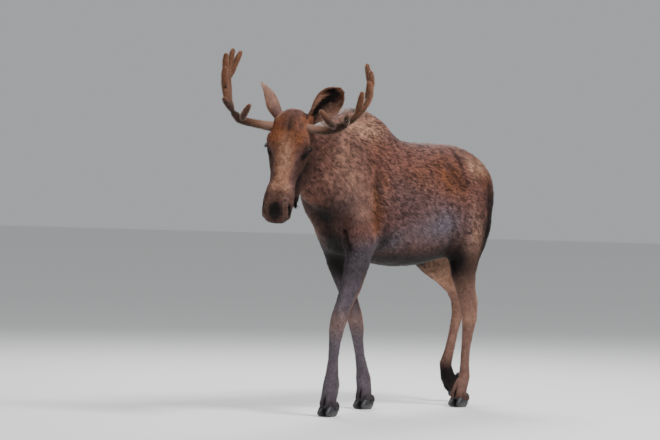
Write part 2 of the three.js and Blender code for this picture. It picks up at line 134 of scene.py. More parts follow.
level = np.array((math.cos(CAMERA_YAW), math.sin(CAMERA_YAW), 0))
forward = level * math.cos(CAMERA_PITCH) + np.array((0, 0, math.sin(CAMERA_PITCH)))
right = np.cross(forward, (0, 0, 1)) / np.linalg.norm(np.cross(forward, (0, 0, 1)))
above = np.cross(right, forward)
rolled_right = right * math.cos(CAMERA_ROLL) + above * math.sin(CAMERA_ROLL)
rolled_up = above * math.cos(CAMERA_ROLL) - right * math.sin(CAMERA_ROLL)

lens = bpy.data.cameras.new("camera")
lens.lens, lens.sensor_width, lens.clip_end = CAMERA_LENS, 36, 200
camera = bpy.data.objects.new("camera", lens)
bpy.context.scene.collection.objects.link(camera)
turned = Matrix((rolled_right, rolled_up, -forward)).transposed().to_4x4()
camera.matrix_world = Matrix.Translation(Vector(ORIGIN + CAMERA_PLACE)) @ turned
bpy.context.scene.camera = camera

# %% [markdown]
# ## Materials, one small helper
# Every finish here is a tree of nodes. One function adds a node with its settings and what feeds it,
# and one turns the hex value of a colour, as a colour picker shows it, into the linear light that
# the shader works in.

# %% The two helpers of every material
COLOURS = {"data_type": "RGBA"}  # makes a Mix node mix colours, through these sockets
MIX_SHARE, MIX_A, MIX_B, MIX_RESULT = 0, 6, 7, 2


def linear(hex_colour):
    """The linear colour of a value such as #804020."""
    shares = [int(hex_colour[i:i + 2], 16) / 255 for i in (1, 3, 5)]
    return [s / 12.92 if s <= 0.04045 else ((s + 0.055) / 1.055) ** 2.4 for s in shares] + [1]


def add(material, kind, settings=None, inputs=None):
    """Adds a node. An input is given a value, or the output socket that feeds it."""
    node = material.node_tree.nodes.new("ShaderNode" + kind)
    for name, value in (settings or {}).items():
        setattr(node, name, value)
    for socket, value in (inputs or {}).items():
        if isinstance(value, bpy.types.NodeSocket):
            material.node_tree.links.new(value, node.inputs[socket])
        else:
            node.inputs[socket].default_value = value
    return node


def new_material(name):
    """An empty material with nodes."""
    material = bpy.data.materials.new(name)
    material.use_nodes = True
    material.node_tree.nodes.clear()
    return material


# %% [markdown]
# ## Floor and light
# A studio floor of pale paint. The light is soft and comes from high on the right of the camera, with
# a weak one on the left, so the far side of each form falls into shade without going black.

# %% Floor
FLOOR_HALF = 60

floor_paint = new_material("pale_floor_paint")
grain = add(floor_paint, "TexNoise", inputs={"Scale": 3.0, "Detail": 4.0})
tone = add(floor_paint, "Mix", COLOURS,
           {MIX_SHARE: grain.outputs["Fac"], MIX_A: linear("#e9e9e7"), MIX_B: linear("#f1f1ef")})
# matt emulsion, rolled on: it takes the shadows softly and shows no gloss
paint = add(floor_paint, "BsdfPrincipled", inputs={"Base Color": tone.outputs[MIX_RESULT], "Roughness": 0.8})
add(floor_paint, "OutputMaterial", inputs={"Surface": paint.outputs["BSDF"]})


def finish_piece(shape, name, materials, smooth=True):
    """Makes an object of a bmesh, at the origin, with its materials."""
    mesh = bpy.data.meshes.new(name)
    shape.to_mesh(mesh)
    shape.free()
    mesh.shade_smooth() if smooth else mesh.shade_flat()
    for material in materials:
        mesh.materials.append(material)
    piece = bpy.data.objects.new(name, mesh)
    bpy.context.scene.collection.objects.link(piece)
    return piece


sheet = bmesh.new()
bmesh.ops.create_grid(sheet, x_segments=1, y_segments=1, size=FLOOR_HALF)
finish_piece(sheet, "floor", [floor_paint], smooth=False)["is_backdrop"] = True

# %% Lights
CHEST = Vector(ORIGIN) + Vector((0.3, 0.1, 1.2))
# name: how far to the camera's right, towards the camera and up, its side in metres, and its power
LAMPS = {
    "key": ((3.4, 2.6, 5.6), 2.0, 640),
    "fill": ((-5.0, 5.0, 2.6), 4.5, 110),
    "rim": ((-0.6, -4.8, 4.8), 2.4, 420),
}

for name, ((to_right, to_camera, high), side, power) in LAMPS.items():
    lamp_data = bpy.data.lights.new(name, "AREA")
    lamp_data.energy, lamp_data.size = power, side
    lamp = bpy.data.objects.new(name, lamp_data)
    bpy.context.scene.collection.objects.link(lamp)
    lamp.location = CHEST + Vector(right) * to_right - Vector(level) * to_camera + Vector((0, 0, high))
    lamp.rotation_euler = (CHEST - lamp.location).to_track_quat("-Z", "Y").to_euler()

world = bpy.data.worlds.new("studio")
bpy.context.scene.world = world
world.use_nodes = True
world.node_tree.nodes["Background"].inputs["Color"].default_value = linear("#dfe3e6")
world.node_tree.nodes["Background"].inputs["Strength"].default_value = 0.55

# %% [markdown]
# ## One skin
# The solids part the animal where a person would name its parts. A real hide has no such cuts, so
# copies of the solids are joined, swollen a hair so that the cuts close, and remeshed into one closed
# surface of even quads. It is then smoothed, more on the barrel than on the thin legs, and sunk by
# the depth of the coat that is going to stand on it.

# %% Copies of the solids, remeshed into one surface
FLESH = ["head", "neck", "trunk", "tail", "bell"]
FLESH += [f"{leg}_{piece}" for leg in LEGS for piece in ("upper", "lower")]
EARS = ["ear_left", "ear_right"]
SKIN_VOXEL = 0.0134  # metres; with the face and legs cut finer, the skin stays under 200,000 triangles
SWELL = 0.0003


def merged_copy(nodes, swell=0.0):
    """A bmesh of copies of CAD nodes, each swollen a little along its normals."""
    shape = bmesh.new()
    for node in nodes:
        shape.from_mesh(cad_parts[node].data)
    bmesh.ops.remove_doubles(shape, verts=shape.verts, dist=1e-6)
    shape.normal_update()
    for corner in shape.verts:
        corner.co += corner.normal * swell
    return shape


def remeshed(shape, voxel):
    """The same volume as one surface of even quads."""
    holder = finish_piece(shape, "remesh_holder", [])
    voxels = holder.modifiers.new("voxels", "REMESH")
    voxels.mode, voxels.voxel_size = "VOXEL", voxel
    surface = bmesh.new()
    surface.from_object(holder, bpy.context.evaluated_depsgraph_get())
    mesh = holder.data
    bpy.data.objects.remove(holder)
    bpy.data.meshes.remove(mesh)
    return surface


def smoothed(shape, corners, passes, factor=0.5):
    """Relaxes some of a bmesh's corners."""
    all_ways = {f"use_axis_{axis}": True for axis in "xyz"}
    for _ in range(passes):
        bmesh.ops.smooth_vert(shape, verts=corners, factor=factor, **all_ways)


def places_of(shape):
    """The points of a bmesh as an array."""
    return np.array([corner.co for corner in shape.verts])


def picked(shape, chosen):
    """The corners of a bmesh for which chosen is true."""
    return [corner for corner, pick in zip(shape.verts, chosen) if pick]


skin = remeshed(merged_copy(FLESH, SWELL), SKIN_VOXEL)
print("remeshed skin:", len(skin.verts), "points")


# %% Which part of the body a point belongs to
def search_tree(nodes):
    """A search tree over some CAD nodes, and the number of the node that each of its faces is of."""
    corners, faces, owners = [], [], []
    for number, node in enumerate(nodes):
        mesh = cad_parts[node].data
        start = len(corners)
        corners += [corner.co for corner in mesh.vertices]
        faces += [[start + i for i in face.vertices] for face in mesh.polygons]
        owners += [number] * len(mesh.polygons)
    return BVHTree.FromPolygons(corners, faces), np.array(owners)


flesh_tree, flesh_owner = search_tree(FLESH)


def parts_of(shape):
    """For each corner, the number in FLESH of the part it lies on."""
    return np.array([flesh_owner[flesh_tree.find_nearest(corner.co)[2]] for corner in shape.verts])


SNAP = 0.020  # how far off a solid may be to draw a corner back


def body_of(shape):
    """Body places of the corners of a bmesh."""
    return on_body(places_of(shape))


def subdivide(shape, chosen):
    """Cuts the quads whose corners are all chosen into four."""
    for corner, pick in zip(shape.verts, chosen):
        corner.tag = bool(pick)
    edges = [edge for edge in shape.edges if edge.verts[0].tag and edge.verts[1].tag]
    bmesh.ops.subdivide_edges(shape, edges=edges, cuts=1, use_grid_fill=True)
    shape.verts.ensure_lookup_table()


def drawn_to_solids(shape, chosen, reach=SNAP):
    """Moves corners onto the nearest face of the solids that looks the same way."""
    shape.normal_update()
    for corner in picked(shape, chosen):
        facing = [(far, place) for place, out, _, far in flesh_tree.find_nearest_range(corner.co, reach)
                  if out.dot(corner.normal) > 0.5]
        if facing:
            corner.co = min(facing, key=lambda found: found[0])[1]


# %% Smooth the barrel and the neck, and put the brisket back
WHOLE_PASSES, BARREL_PASSES, BRISKET_PASSES = 2, 22, 3
BRISKET, BRISKET_HALF, BRISKET_SNAP = (0.80, 0.0, 1.20), (0.17, 0.26, 0.20), 0.065

part = parts_of(skin)
head_number, neck_number, last_soft = (FLESH.index(name) for name in ("head", "neck", "bell"))
is_thin = (part >= FLESH.index("tail")) | (part == head_number)
smoothed(skin, skin.verts[:], WHOLE_PASSES)
smoothed(skin, picked(skin, ~is_thin), BARREL_PASSES)

# smoothing pulls the brisket in, so it is drawn back onto the solids and smoothed less
away = np.abs(body_of(skin) - BRISKET) / BRISKET_HALF
brisket = ~is_thin & (away.max(axis=1) < 1)
drawn_to_solids(skin, brisket, BRISKET_SNAP)
smoothed(skin, picked(skin, brisket), BRISKET_PASSES)
print("smoothed corners of the barrel:", int((~is_thin).sum()), "and of the brisket:", int(brisket.sum()))

# %% [markdown]
# ## A finer head and finer legs
# The face carries the small forms: lids, tear pits, nostrils and lips. The legs carry tendons and the
# point of the hock. Their quads are cut in four and drawn back onto the solids, since smoothing made
# them thin. Those on the muzzle and the breast are cut once more, and those of the lids twice more.

# %% Subdivide the face and legs, then the eyes and the muzzle
FINE_FROM, FINE_EDGE = 1.12, 0.02  # the legs are fine up to this height, and drawn back a little below it
FINE_PASSES, ELBOW_PASSES = 5, 6
ELBOWS_FROM, ELBOWS_TO, ELBOWS_BEHIND = 0.84, 1.16, 0.74  # heights of the elbows, and behind the brisket
EYE_ZONE, LID_ZONE = 0.050, 0.033
MUZZLE_FROM = 0.525
BREAST, BREAST_ZONE = (0.71, 0.0, 1.0), 0.115  # where the loose skin folds between the forelegs
BREAST_SQUASH = (1, 0.7, 1)

subdivide(skin, ((part > last_soft) & (body_of(skin)[:, 2] < FINE_FROM)) | (part == head_number))
part = parts_of(skin)
is_fine = ((part > last_soft) & (body_of(skin)[:, 2] < FINE_FROM - FINE_EDGE)) | (part == head_number)
drawn_to_solids(skin, is_fine)
smoothed(skin, picked(skin, is_fine), FINE_PASSES)

x, _, z = body_of(skin).T
elbows = (z > ELBOWS_FROM) & (z < ELBOWS_TO) & (x < ELBOWS_BEHIND) & (part != head_number)
smoothed(skin, picked(skin, elbows), ELBOW_PASSES)

over = folded(on_head(places_of(skin)), 2)
fine = (np.linalg.norm(over - EYE, axis=1) < EYE_ZONE) | (over[:, 0] > MUZZLE_FROM)
fine &= part == head_number
fine |= np.linalg.norm((folded(body_of(skin), 1) - BREAST) * BREAST_SQUASH, axis=1) < BREAST_ZONE
subdivide(skin, fine)
over = folded(on_head(places_of(skin)), 2)
subdivide(skin, np.linalg.norm(over - EYE, axis=1) < LID_ZONE)
part = parts_of(skin)
print("skin with a finer face and legs:", len(skin.verts), "points")

# %% [markdown]
# ## Sink the skin by the coat's depth
# The solids reach out to the tips of the coat, so the skin lies inside them: 3 to 4 mm on the face, 3 to
# 7 mm on the legs, 10 mm on the barrel and 14 mm on the hump.

# %% Depth of the coat
# leg: its middle line from the elbow or the stifle down to the foot
LEG_LINES = {
    "foreleg_left": ((0.610, 0.160, 1.010), (0.694, 0.166, 0.740), (0.802, 0.157, 0.529),
                     (0.814, 0.131, 0.232), (0.838, 0.122, 0.050)),
    "foreleg_right": ((0.462, -0.158, 1.010), (0.342, -0.148, 0.740), (0.258, -0.126, 0.510),
                      (0.168, -0.142, 0.226), (0.188, -0.112, 0.050)),
    "hindleg_left": ((-0.474, 0.156, 1.075), (-0.388, 0.184, 0.800), (-0.454, 0.188, 0.572),
                     (-0.466, 0.148, 0.240), (-0.425, 0.140, 0.050)),
    "hindleg_right": ((-0.505, -0.156, 1.085), (-0.566, -0.164, 0.872), (-0.804, -0.148, 0.570),
                      (-0.702, -0.163, 0.214), (-0.790, -0.150, 0.070)),
}
LEG_REACH = 0.130
LEG_TOP, LEG_FADE = 1.00, 0.08
BARREL_DEPTH, HUMP_MORE = 0.010, 0.004  # the coat's depth, in metres
FACE_DEPTH, NAPE_MORE = 0.0035, 0.005
SHAGGY_DEPTH = 0.007  # on the bell and the tail
SHANK_DEPTH, UPPER_LEG_MORE = 0.003, 0.004
HUMP = ((0.56, 0, 1.74), (0.30, 0.14, 0.12))
LEGS_DRAWN_IN, REST_DRAWN_IN = 0.0020, 0.001  # how far smoothing has already drawn the skin in


def ramp(values, low, high):
    """0 up to low, 1 from high on, and smooth between."""
    share = np.clip((values - low) / (high - low), 0, 1)
    return share * share * (3 - 2 * share)


def near(places, centre, reach):
    """1 at a centre, fading to 0 away from it; reach is one length or three."""
    return np.exp(-(((places - np.array(centre)) / reach) ** 2).sum(axis=1))


def close_to_leg(body):
    """1 on the legs and 0 on the barrel, for body places, fading over the shoulder and the thigh."""
    share = np.zeros(len(body))
    for line in LEG_LINES.values():
        line = np.array(line)[::-1]
        middle = np.column_stack([np.interp(body[:, 2], line[:, 2], line[:, axis]) for axis in (0, 1)])
        share = np.maximum(share, np.exp(-(((body[:, :2] - middle) / LEG_REACH) ** 2).sum(axis=1)))
    return np.clip(1.6 * share, 0, 1) * ramp(body[:, 2], LEG_TOP + LEG_FADE, LEG_TOP - LEG_FADE)


def coat_depth(points, numbers):
    """How deep the coat is at each point, in metres."""
    body, head = on_body(points), on_head(points)
    back_of_head = ramp(head[:, 1], -0.10, -0.17) * ramp(head[:, 0], 0.25, 0.10)
    depth = BARREL_DEPTH + HUMP_MORE * near(body, *HUMP)
    depth = np.where(numbers == head_number, FACE_DEPTH + NAPE_MORE * back_of_head, depth)
    depth = np.where(np.isin(numbers, SHAGGY), SHAGGY_DEPTH, depth)
    on_leg = SHANK_DEPTH + UPPER_LEG_MORE * ramp(body[:, 2], 0.45, 1.0)
    share = close_to_leg(body) * (numbers != head_number)
    return depth * (1 - share) + on_leg * share


SHAGGY = [FLESH.index(name) for name in ("bell", "tail")]
skin.normal_update()
points = places_of(skin)
normals = np.array([corner.normal for corner in skin.verts])
drawn_in = np.where(part > last_soft, LEGS_DRAWN_IN, REST_DRAWN_IN)
sunk = coat_depth(points, part) - drawn_in
points = points - normals * sunk[:, None]
print("skin sunk by", round(1000 * sunk.min(), 1), "to", round(1000 * sunk.max(), 1), "mm")

# %% [markdown]
# ## Folds and muscles
# Each form is a soft ridge or hollow along a short line: where it starts, where it ends, how far it
# reaches and how high it stands. The head's are given in head places and the body's in body places,
# and both are folded over the middle, so that one line shapes both sides.

# %% The forms of the head and of the body
HEAD_FORMS = {
    "brow over the eye": ((0.164, -0.024, 0.112), (0.188, -0.022, 0.114), 0.017, 0.0100),
    "rim behind the eye": ((0.184, -0.078, 0.124), (0.222, -0.086, 0.122), 0.012, 0.0040),
    "rim under the eye": ((0.214, -0.088, 0.122), (0.240, -0.072, 0.118), 0.011, 0.0030),
    "hollow before the eye": ((0.222, -0.022, 0.104), (0.262, -0.020, 0.092), 0.017, -0.0070),
    "tear pit": ((0.250, -0.045, 0.112), (0.268, -0.035, 0.104), 0.0075, -0.0120),
    "rim of the tear pit": ((0.256, -0.060, 0.112), (0.276, -0.050, 0.106), 0.008, 0.0030),
    "hollow beside the bridge": ((0.280, -0.026, 0.086), (0.420, -0.024, 0.072), 0.024, -0.0105),
    "edge of the bridge": ((0.240, 0.012, 0.052), (0.450, 0.004, 0.042), 0.014, 0.0030),
    "temple": ((0.120, -0.080, 0.110), (0.150, -0.092, 0.115), 0.030, -0.0050),
    "cheek bone": ((0.235, -0.096, 0.112), (0.330, -0.086, 0.090), 0.016, 0.0045),
    "cheek muscle": ((0.215, -0.170, 0.105), (0.285, -0.150, 0.095), 0.040, 0.0040),
    "hollow of the cheek": ((0.350, -0.120, 0.082), (0.430, -0.090, 0.072), 0.026, -0.0090),
    "jaw bone": ((0.300, -0.190, 0.060), (0.500, -0.135, 0.050), 0.016, 0.0030),
    "end of the nose bone": ((0.462, 0.006, 0.050), (0.485, 0.010, 0.038), 0.018, 0.0045),
    "notch over the muzzle": ((0.512, 0.016, 0.0), (0.516, 0.010, 0.070), 0.014, -0.0045),
    "middle of the muzzle": ((0.560, 0.030, 0.0), (0.665, 0.0, 0.0), 0.014, -0.0050),
    "lobe of the muzzle": ((0.585, 0.015, 0.046), (0.640, 0.0, 0.050), 0.022, 0.0050),
    "nostril": ((0.584, -0.004, 0.070), (0.622, -0.026, 0.072), 0.0085, -0.0230),
    "upper end of the nostril": ((0.570, -0.004, 0.068), (0.584, -0.004, 0.070), 0.006, -0.0110),
    "rim of the nostril": ((0.570, 0.016, 0.062), (0.626, -0.002, 0.064), 0.009, 0.0050),
    "wing of the nostril": ((0.590, -0.030, 0.078), (0.630, -0.048, 0.074), 0.010, 0.0035),
    "root of the ear": ((0.036, -0.080, 0.078), (0.016, -0.076, 0.106), 0.034, 0.0150),
    "swirl of the forehead": ((0.100, 0.020, 0.0), (0.135, 0.022, 0.0), 0.030, -0.0040),
    "root of the antler": ((0.088, -0.034, 0.082), (0.092, -0.044, 0.110), 0.026, 0.0050),
    "throat latch": ((0.180, -0.230, 0.0), (0.240, -0.226, 0.060), 0.030, -0.0060),
}
BODY_FORMS = {
    "groove behind the shoulder": ((0.500, 0.200, 1.400), (0.552, 0.232, 1.090), 0.030, -0.0090),
    "elbow": ((0.575, 0.236, 1.050), (0.600, 0.236, 1.010), 0.034, 0.0080),
    "ridge of the shoulder blade": ((0.470, 0.110, 1.640), (0.690, 0.180, 1.290), 0.034, 0.0060),
    "hollow behind the blade": ((0.400, 0.150, 1.560), (0.520, 0.205, 1.330), 0.040, -0.0050),
    "hollow before the blade": ((0.640, 0.120, 1.600), (0.790, 0.150, 1.330), 0.036, -0.0060),
    "point of the shoulder": ((0.740, 0.160, 1.230), (0.735, 0.165, 1.160), 0.050, 0.0090),
    "groove of the neck": ((0.960, 0.075, 1.420), (0.800, 0.115, 1.200), 0.026, -0.0060),
    "crease over the breast": ((0.720, 0.030, 1.072), (0.716, 0.130, 1.070), 0.011, -0.0130),
    "crease beside the breast": ((0.716, 0.146, 1.060), (0.712, 0.166, 0.960), 0.014, -0.0190),
    "crease under the breast": ((0.700, 0.005, 0.985), (0.690, 0.110, 0.930), 0.011, -0.0130),
    "breast": ((0.712, 0.060, 1.015), (0.706, 0.110, 0.985), 0.034, 0.0150),
    "fold over the breast": ((0.730, 0.040, 1.096), (0.728, 0.150, 1.090), 0.012, 0.0060),
    "fold beside the breast": ((0.735, 0.010, 1.040), (0.715, -0.030, 0.960), 0.012, 0.0060),
    "fold of the upper arm": ((0.735, 0.170, 1.080), (0.735, 0.180, 0.980), 0.024, 0.0060),
    "hip bone": ((-0.380, 0.150, 1.505), (-0.420, 0.170, 1.460), 0.042, 0.0080),
    "hollow of the flank": ((-0.210, 0.190, 1.440), (-0.270, 0.215, 1.350), 0.055, -0.0100),
    "flank fold": ((-0.230, 0.250, 1.200), (-0.285, 0.215, 0.935), 0.024, 0.0090),
    "hollow before the thigh": ((-0.150, 0.262, 1.130), (-0.210, 0.232, 0.960), 0.036, -0.0080),
    "groove of the haunch": ((-0.600, 0.200, 1.330), (-0.520, 0.250, 1.000), 0.020, -0.0060),
    "groove of the thigh": ((-0.440, 0.235, 1.240), (-0.400, 0.250, 1.010), 0.024, -0.0050),
    "seat bone": ((-0.715, 0.100, 1.330), (-0.720, 0.110, 1.290), 0.040, 0.0060),
    "middle of the breast bone": ((0.770, 0.0, 1.150), (0.600, 0.0, 0.930), 0.026, -0.0050),
}


def along_line(places, start, end, reach):
    """1 on a short line, fading to 0 away from it."""
    start, end = np.array(start), np.array(end)
    line = end - start
    share = np.clip((places - start) @ line / (line @ line), 0, 1)
    nearest = start + share[:, None] * line
    return np.exp(-((places - nearest) ** 2).sum(axis=1) / reach ** 2)


def raised(places, forms):
    """How far each place is raised by all the forms together."""
    return sum(height * along_line(places, start, end, reach) for start, end, reach, height in forms.values())


is_head = part == head_number
head_over = folded(on_head(points), 2)
body_over = folded(on_body(points), 1)
lift = np.where(is_head, raised(head_over, HEAD_FORMS), raised(body_over, BODY_FORMS))
points = points + normals * lift[:, None]
print("forms raise the skin by", round(1000 * lift.min(), 1), "to", round(1000 * lift.max(), 1), "mm")

# %% [markdown]
# ## Mouth
# A moose's upper lip is broad and hangs over the lower one. The slit between them is pressed in along
# a slanting line on each side, and what lies under it, the lower lip and the chin, is drawn in and up.

# %% The slit of the mouth, the lower lip and the chin
MOUTH_CORNER = (0.548, -0.088)  # down the face and out of the brow
MOUTH_FRONT = (0.672, -0.046)
SLIT_HALF, SLIT_DEPTH = 0.0042, 0.0075
CHIN_UP, CHIN_NARROWER = 0.014, 0.10


def out_at_mouth(down):
    """How far out of the brow the slit lies, at a place down the face."""
    return np.interp(down, (MOUTH_CORNER[0], MOUTH_FRONT[0]), (MOUTH_CORNER[1], MOUTH_FRONT[1]))


head_over = folded(on_head(points), 2)
below = out_at_mouth(head_over[:, 0]) - head_over[:, 1]
on_lips = ramp(head_over[:, 0], MOUTH_CORNER[0] - 0.015, MOUTH_CORNER[0] + 0.02) * is_head
slit = np.exp(-(below / SLIT_HALF) ** 2) * on_lips
under_lip = ramp(below, 0.002, 0.020) * on_lips
points = points - normals * (SLIT_DEPTH * slit)[:, None]
points = points - np.outer(under_lip * ramp(head_over[:, 0], 0.58, 0.66) * CHIN_UP, muzzle_ward)
points = points - np.outer(on_head(points)[:, 2] * under_lip * CHIN_NARROWER, head_left)
print("points in the slit of the mouth:", int((slit > 0.5).sum()))

# %% [markdown]
# ## Eye sockets
# The skin round each eye is held under the ball, and the lids are made later as a soft ring over it,
# so that the edge of the lid is crisp however coarse the skin is.

# %% Directions of each eye, and its socket
EYE_RADIUS = 0.0187
LID_HALF_LONG, LID_HALF_TALL = 0.92, 0.62  # the opening, as angles at the middle of the ball
SOCKET_RADIUS, LID_RADIUS = 0.0150, 0.0206
EYE_FORWARD = 0.003
EYE_LOOKS, SLIT_RUNS = (0.02, 0.42, 0.91), (0.86, 0.50, 0.0)  # in head directions
UNDER_LID, OPEN_EDGE = (2.9, 2.0), (1.02, 1.28)  # where the skin rises under the lid, and where it dives


def eye_axes(side):
    """The middle of an eye, and its directions: along the slit, across it and out."""
    out = (np.array(EYE_LOOKS) * (1, 1, side)) @ HEAD
    out /= np.linalg.norm(out)
    slit_line = np.array(SLIT_RUNS) @ HEAD
    slit_line -= out * (slit_line @ out)
    slit_line /= np.linalg.norm(slit_line)
    across = np.cross(out, slit_line) * side
    return from_head(EYE * (1, 1, side)) + out * EYE_FORWARD, slit_line, across, out


def opening_at(points, side):
    """How far each point is from the middle of the lids' opening: 1 is on its edge."""
    middle, slit_line, across, out = eye_axes(side)
    away = points - middle
    distance = np.linalg.norm(away, axis=1)
    angle = np.arccos(np.clip(away @ out / distance, -1, 1))
    turn = np.arctan2(away @ across, away @ slit_line)
    edge = np.hypot(np.cos(turn) / LID_HALF_LONG, np.sin(turn) / LID_HALF_TALL)
    return angle * edge, away / distance[:, None], distance


for side in (LEFT, RIGHT):
    opening, ray, distance = opening_at(points, side)
    by_eye = distance < EYE_ZONE
    lifted = np.maximum(distance, LID_RADIUS * ramp(opening, *UNDER_LID))
    open_to = ramp(opening, *OPEN_EDGE)
    held = np.minimum(lifted, SOCKET_RADIUS) * (1 - open_to) + lifted * open_to
    points[by_eye] = (eye_axes(side)[0] + ray * held[:, None])[by_eye]

# %% [markdown]
# ## Feet in their hooves
# Above the hoof the skin runs on down inside the horn, as it does in life, and the cleft between the
# two toes shows as a groove up the front of the foot.

# %% The feet's own directions, the cleft, and the skin inside the horn
# leg: where its foot stands, its turn and its tip in degrees, and its size
FEET = {
    "foreleg_left": ((0.829, 0.124, 0.0), 8, 0, 1.0),
    "foreleg_right": ((0.183, -0.112, 0.0), 6, 0, 1.0),
    "hindleg_left": ((-0.428, 0.140, 0.0), 6, 0, 1.0),
    "hindleg_right": ((-0.826, -0.150, 0.098), 2, 70, 1.04),
}
HAIR_LINE_UP, HAIR_LINE_SLOPE = 0.052, math.radians(15)
CLEFT_HALF, CLEFT_DEPTH = 0.008, 0.016
FOOT_MIDDLE = (0.015, 0.0)
INTO_HORN, CORONET_SWELL = 0.014, 0.005  # the skin runs down inside the horn and swells above it


def foot_matrix(leg):
    """From a foot's own directions (ahead, left and up from its sole) to the frame."""
    at, turn, tip, size = FEET[leg]
    turned = Matrix.Rotation(math.radians(turn), 4, "Z") @ Matrix.Rotation(math.radians(tip), 4, "Y")
    return Matrix.Translation(Vector(ORIGIN + at)) @ turned @ Matrix.Scale(size, 4)


def on_foot(points, leg):
    """Places on a foot of points in the frame."""
    back = np.array(foot_matrix(leg).inverted())
    return points @ back[:3, :3].T + back[:3, 3]


def over_hair_line(places):
    """How far a place on a foot is above the line where the horn begins."""
    ahead, _, up = places.T
    return (up - HAIR_LINE_UP) * math.cos(HAIR_LINE_SLOPE) - ahead * math.sin(HAIR_LINE_SLOPE)


def cleft_at(places):
    """How deep in the cleft between the two claws a place on a foot is."""
    ahead, left, up = places.T
    return np.exp(-(left / CLEFT_HALF) ** 2) * ramp(ahead, -0.01, 0.02) * ramp(up, 0.15, 0.08)


for leg in LEGS:
    on_leg = part == FLESH.index(f"{leg}_lower")
    places = on_foot(points[on_leg], leg)
    turned = np.array(foot_matrix(leg))[:3, :3]
    sink = ramp(over_hair_line(places), 0.012, -0.004)
    swell = CORONET_SWELL * ramp(over_hair_line(places), 0.045, 0.010)
    from_axis = places[:, :2] - FOOT_MIDDLE
    from_axis /= np.linalg.norm(from_axis, axis=1)[:, None]
    moved = np.column_stack((from_axis * swell[:, None], -INTO_HORN * sink))
    moved[:, 0] -= CLEFT_DEPTH * cleft_at(places)
    points[on_leg] += moved @ turned.T

for corner, point in zip(skin.verts, points):
    corner.co = point
smoothed(skin, skin.verts[:], 1, 0.4)
print("inside the horn the skin reaches down to", round(float(places_of(skin)[:, 2].min()), 3), "m")

# %% [markdown]
# ## Ears
# An ear is a thin leaf of gristle, rolled into a tube at its root and open towards its tip. Too thin
# for the remesh, it is a grid bent round the ear's length and given a wall, and its root is buried in
# the skin. It joins the same mesh, so the hide is still one piece.

# %% Bend a grid into each ear
EAR_WIDTHS = {  # from root to tip, as shares of the half width
    "ear_left": (1.05, 1.12, 1.16, 1.20, 1.14, 0.90, 0.16),
    "ear_right": (0.98, 1.12, 1.14, 1.04, 0.86, 0.60, 0.14),
}
EAR_ROLLS = (2.6, 2.0, 1.4, 1.1, 1.0, 0.95, 0.9)  # how far round it is rolled, in radians
EAR_HALF, EAR_WALL = 0.075, 0.0032
EAR_ROWS, EAR_COLUMNS = 46, 30
EAR_AXIS = 0.6  # how far the middle of the roll lies in front of the ear's own line, in radii
RIPPLE = 0.0022
EASE_STEPS, EASE_REACH = 61, 5  # for reading the short rows above smoothly
EAR_BURIED = 0.24  # how much further the ear runs down inside the head, as a share of its length
# side: root and tip from midway between the antlers' roots, and which way the hollow looks
EAR_PLANS = {
    "ear_left": (LEFT, (0.096, -0.052, 0.050), (0.256, -0.070, 0.238), (0.30, 0.95, 0.0)),
    "ear_right": (RIGHT, (0.078, -0.052, 0.072), (0.228, -0.182, 0.229), (0.86, -0.42, 0.10)),
}


def ear_axes(name):
    """An ear's root, its length, and its directions: along it, out of its hollow and across."""
    side, root, tip, looks = EAR_PLANS[name]
    start, end = by_antlers(side, root), by_antlers(side, tip)
    length = np.linalg.norm(end - start)
    along = (end - start) / length
    hollow = head_left * side * looks[0] + heading * looks[1] + head_up * looks[2]
    hollow -= along * (hollow @ along)
    hollow /= np.linalg.norm(hollow)
    return start, length, along, hollow, np.cross(along, hollow)


def eased(share, values):
    """A value read smoothly from a short row of them."""
    steps = np.linspace(0, 1, EASE_STEPS)
    fine = np.interp(steps, np.linspace(0, 1, len(values)), values)
    window = np.ones(2 * EASE_REACH + 1) / (2 * EASE_REACH + 1)
    return np.interp(share, steps, np.convolve(np.pad(fine, EASE_REACH, "edge"), window, "valid"))


def bent_ear(name):
    """A bmesh of one ear."""
    start, length, along, hollow, across = ear_axes(name)
    leaf = bmesh.new()
    bmesh.ops.create_grid(leaf, x_segments=EAR_COLUMNS, y_segments=EAR_ROWS, size=1)
    for corner in leaf.verts:
        over = corner.co.x
        share = (corner.co.y + 1) / 2 * (1 + EAR_BURIED) - EAR_BURIED
        roll = eased(max(share, 0), EAR_ROLLS)
        radius = EAR_HALF * eased(max(share, 0), EAR_WIDTHS[name]) / roll * (1 + 0.8 * min(share, 0))
        ripple = RIPPLE * math.sin(8 * over + 5 * share) * max(share, 0)
        angle = over * roll
        reach = radius * (1 + 0.08 * abs(over) ** 3) + ripple
        point = start + along * length * share + across * reach * math.sin(angle)
        corner.co = point + hollow * (radius * EAR_AXIS - reach * math.cos(angle))
    bmesh.ops.solidify(leaf, geom=leaf.faces[:], thickness=EAR_WALL)
    bmesh.ops.recalc_face_normals(leaf, faces=leaf.faces[:])
    smoothed(leaf, leaf.verts[:], 2)
    return leaf


def ear_places(points, normals, name):
    """How far along an ear each point is, how far round it, and 1 where it is in the hollow."""
    start, length, along, hollow, across = ear_axes(name)
    away = points - start
    share = away @ along / length
    roll = eased(np.clip(share, 0, 1), EAR_ROLLS)
    axis = EAR_HALF * eased(np.clip(share, 0, 1), EAR_WIDTHS[name]) / roll * EAR_AXIS
    over = np.arctan2(away @ across, axis - away @ hollow) / roll
    to_axis = np.outer(axis - away @ hollow, hollow) - np.outer(away @ across, across)
    return share, over, ((to_axis * normals).sum(axis=1) > 0) * 1.0


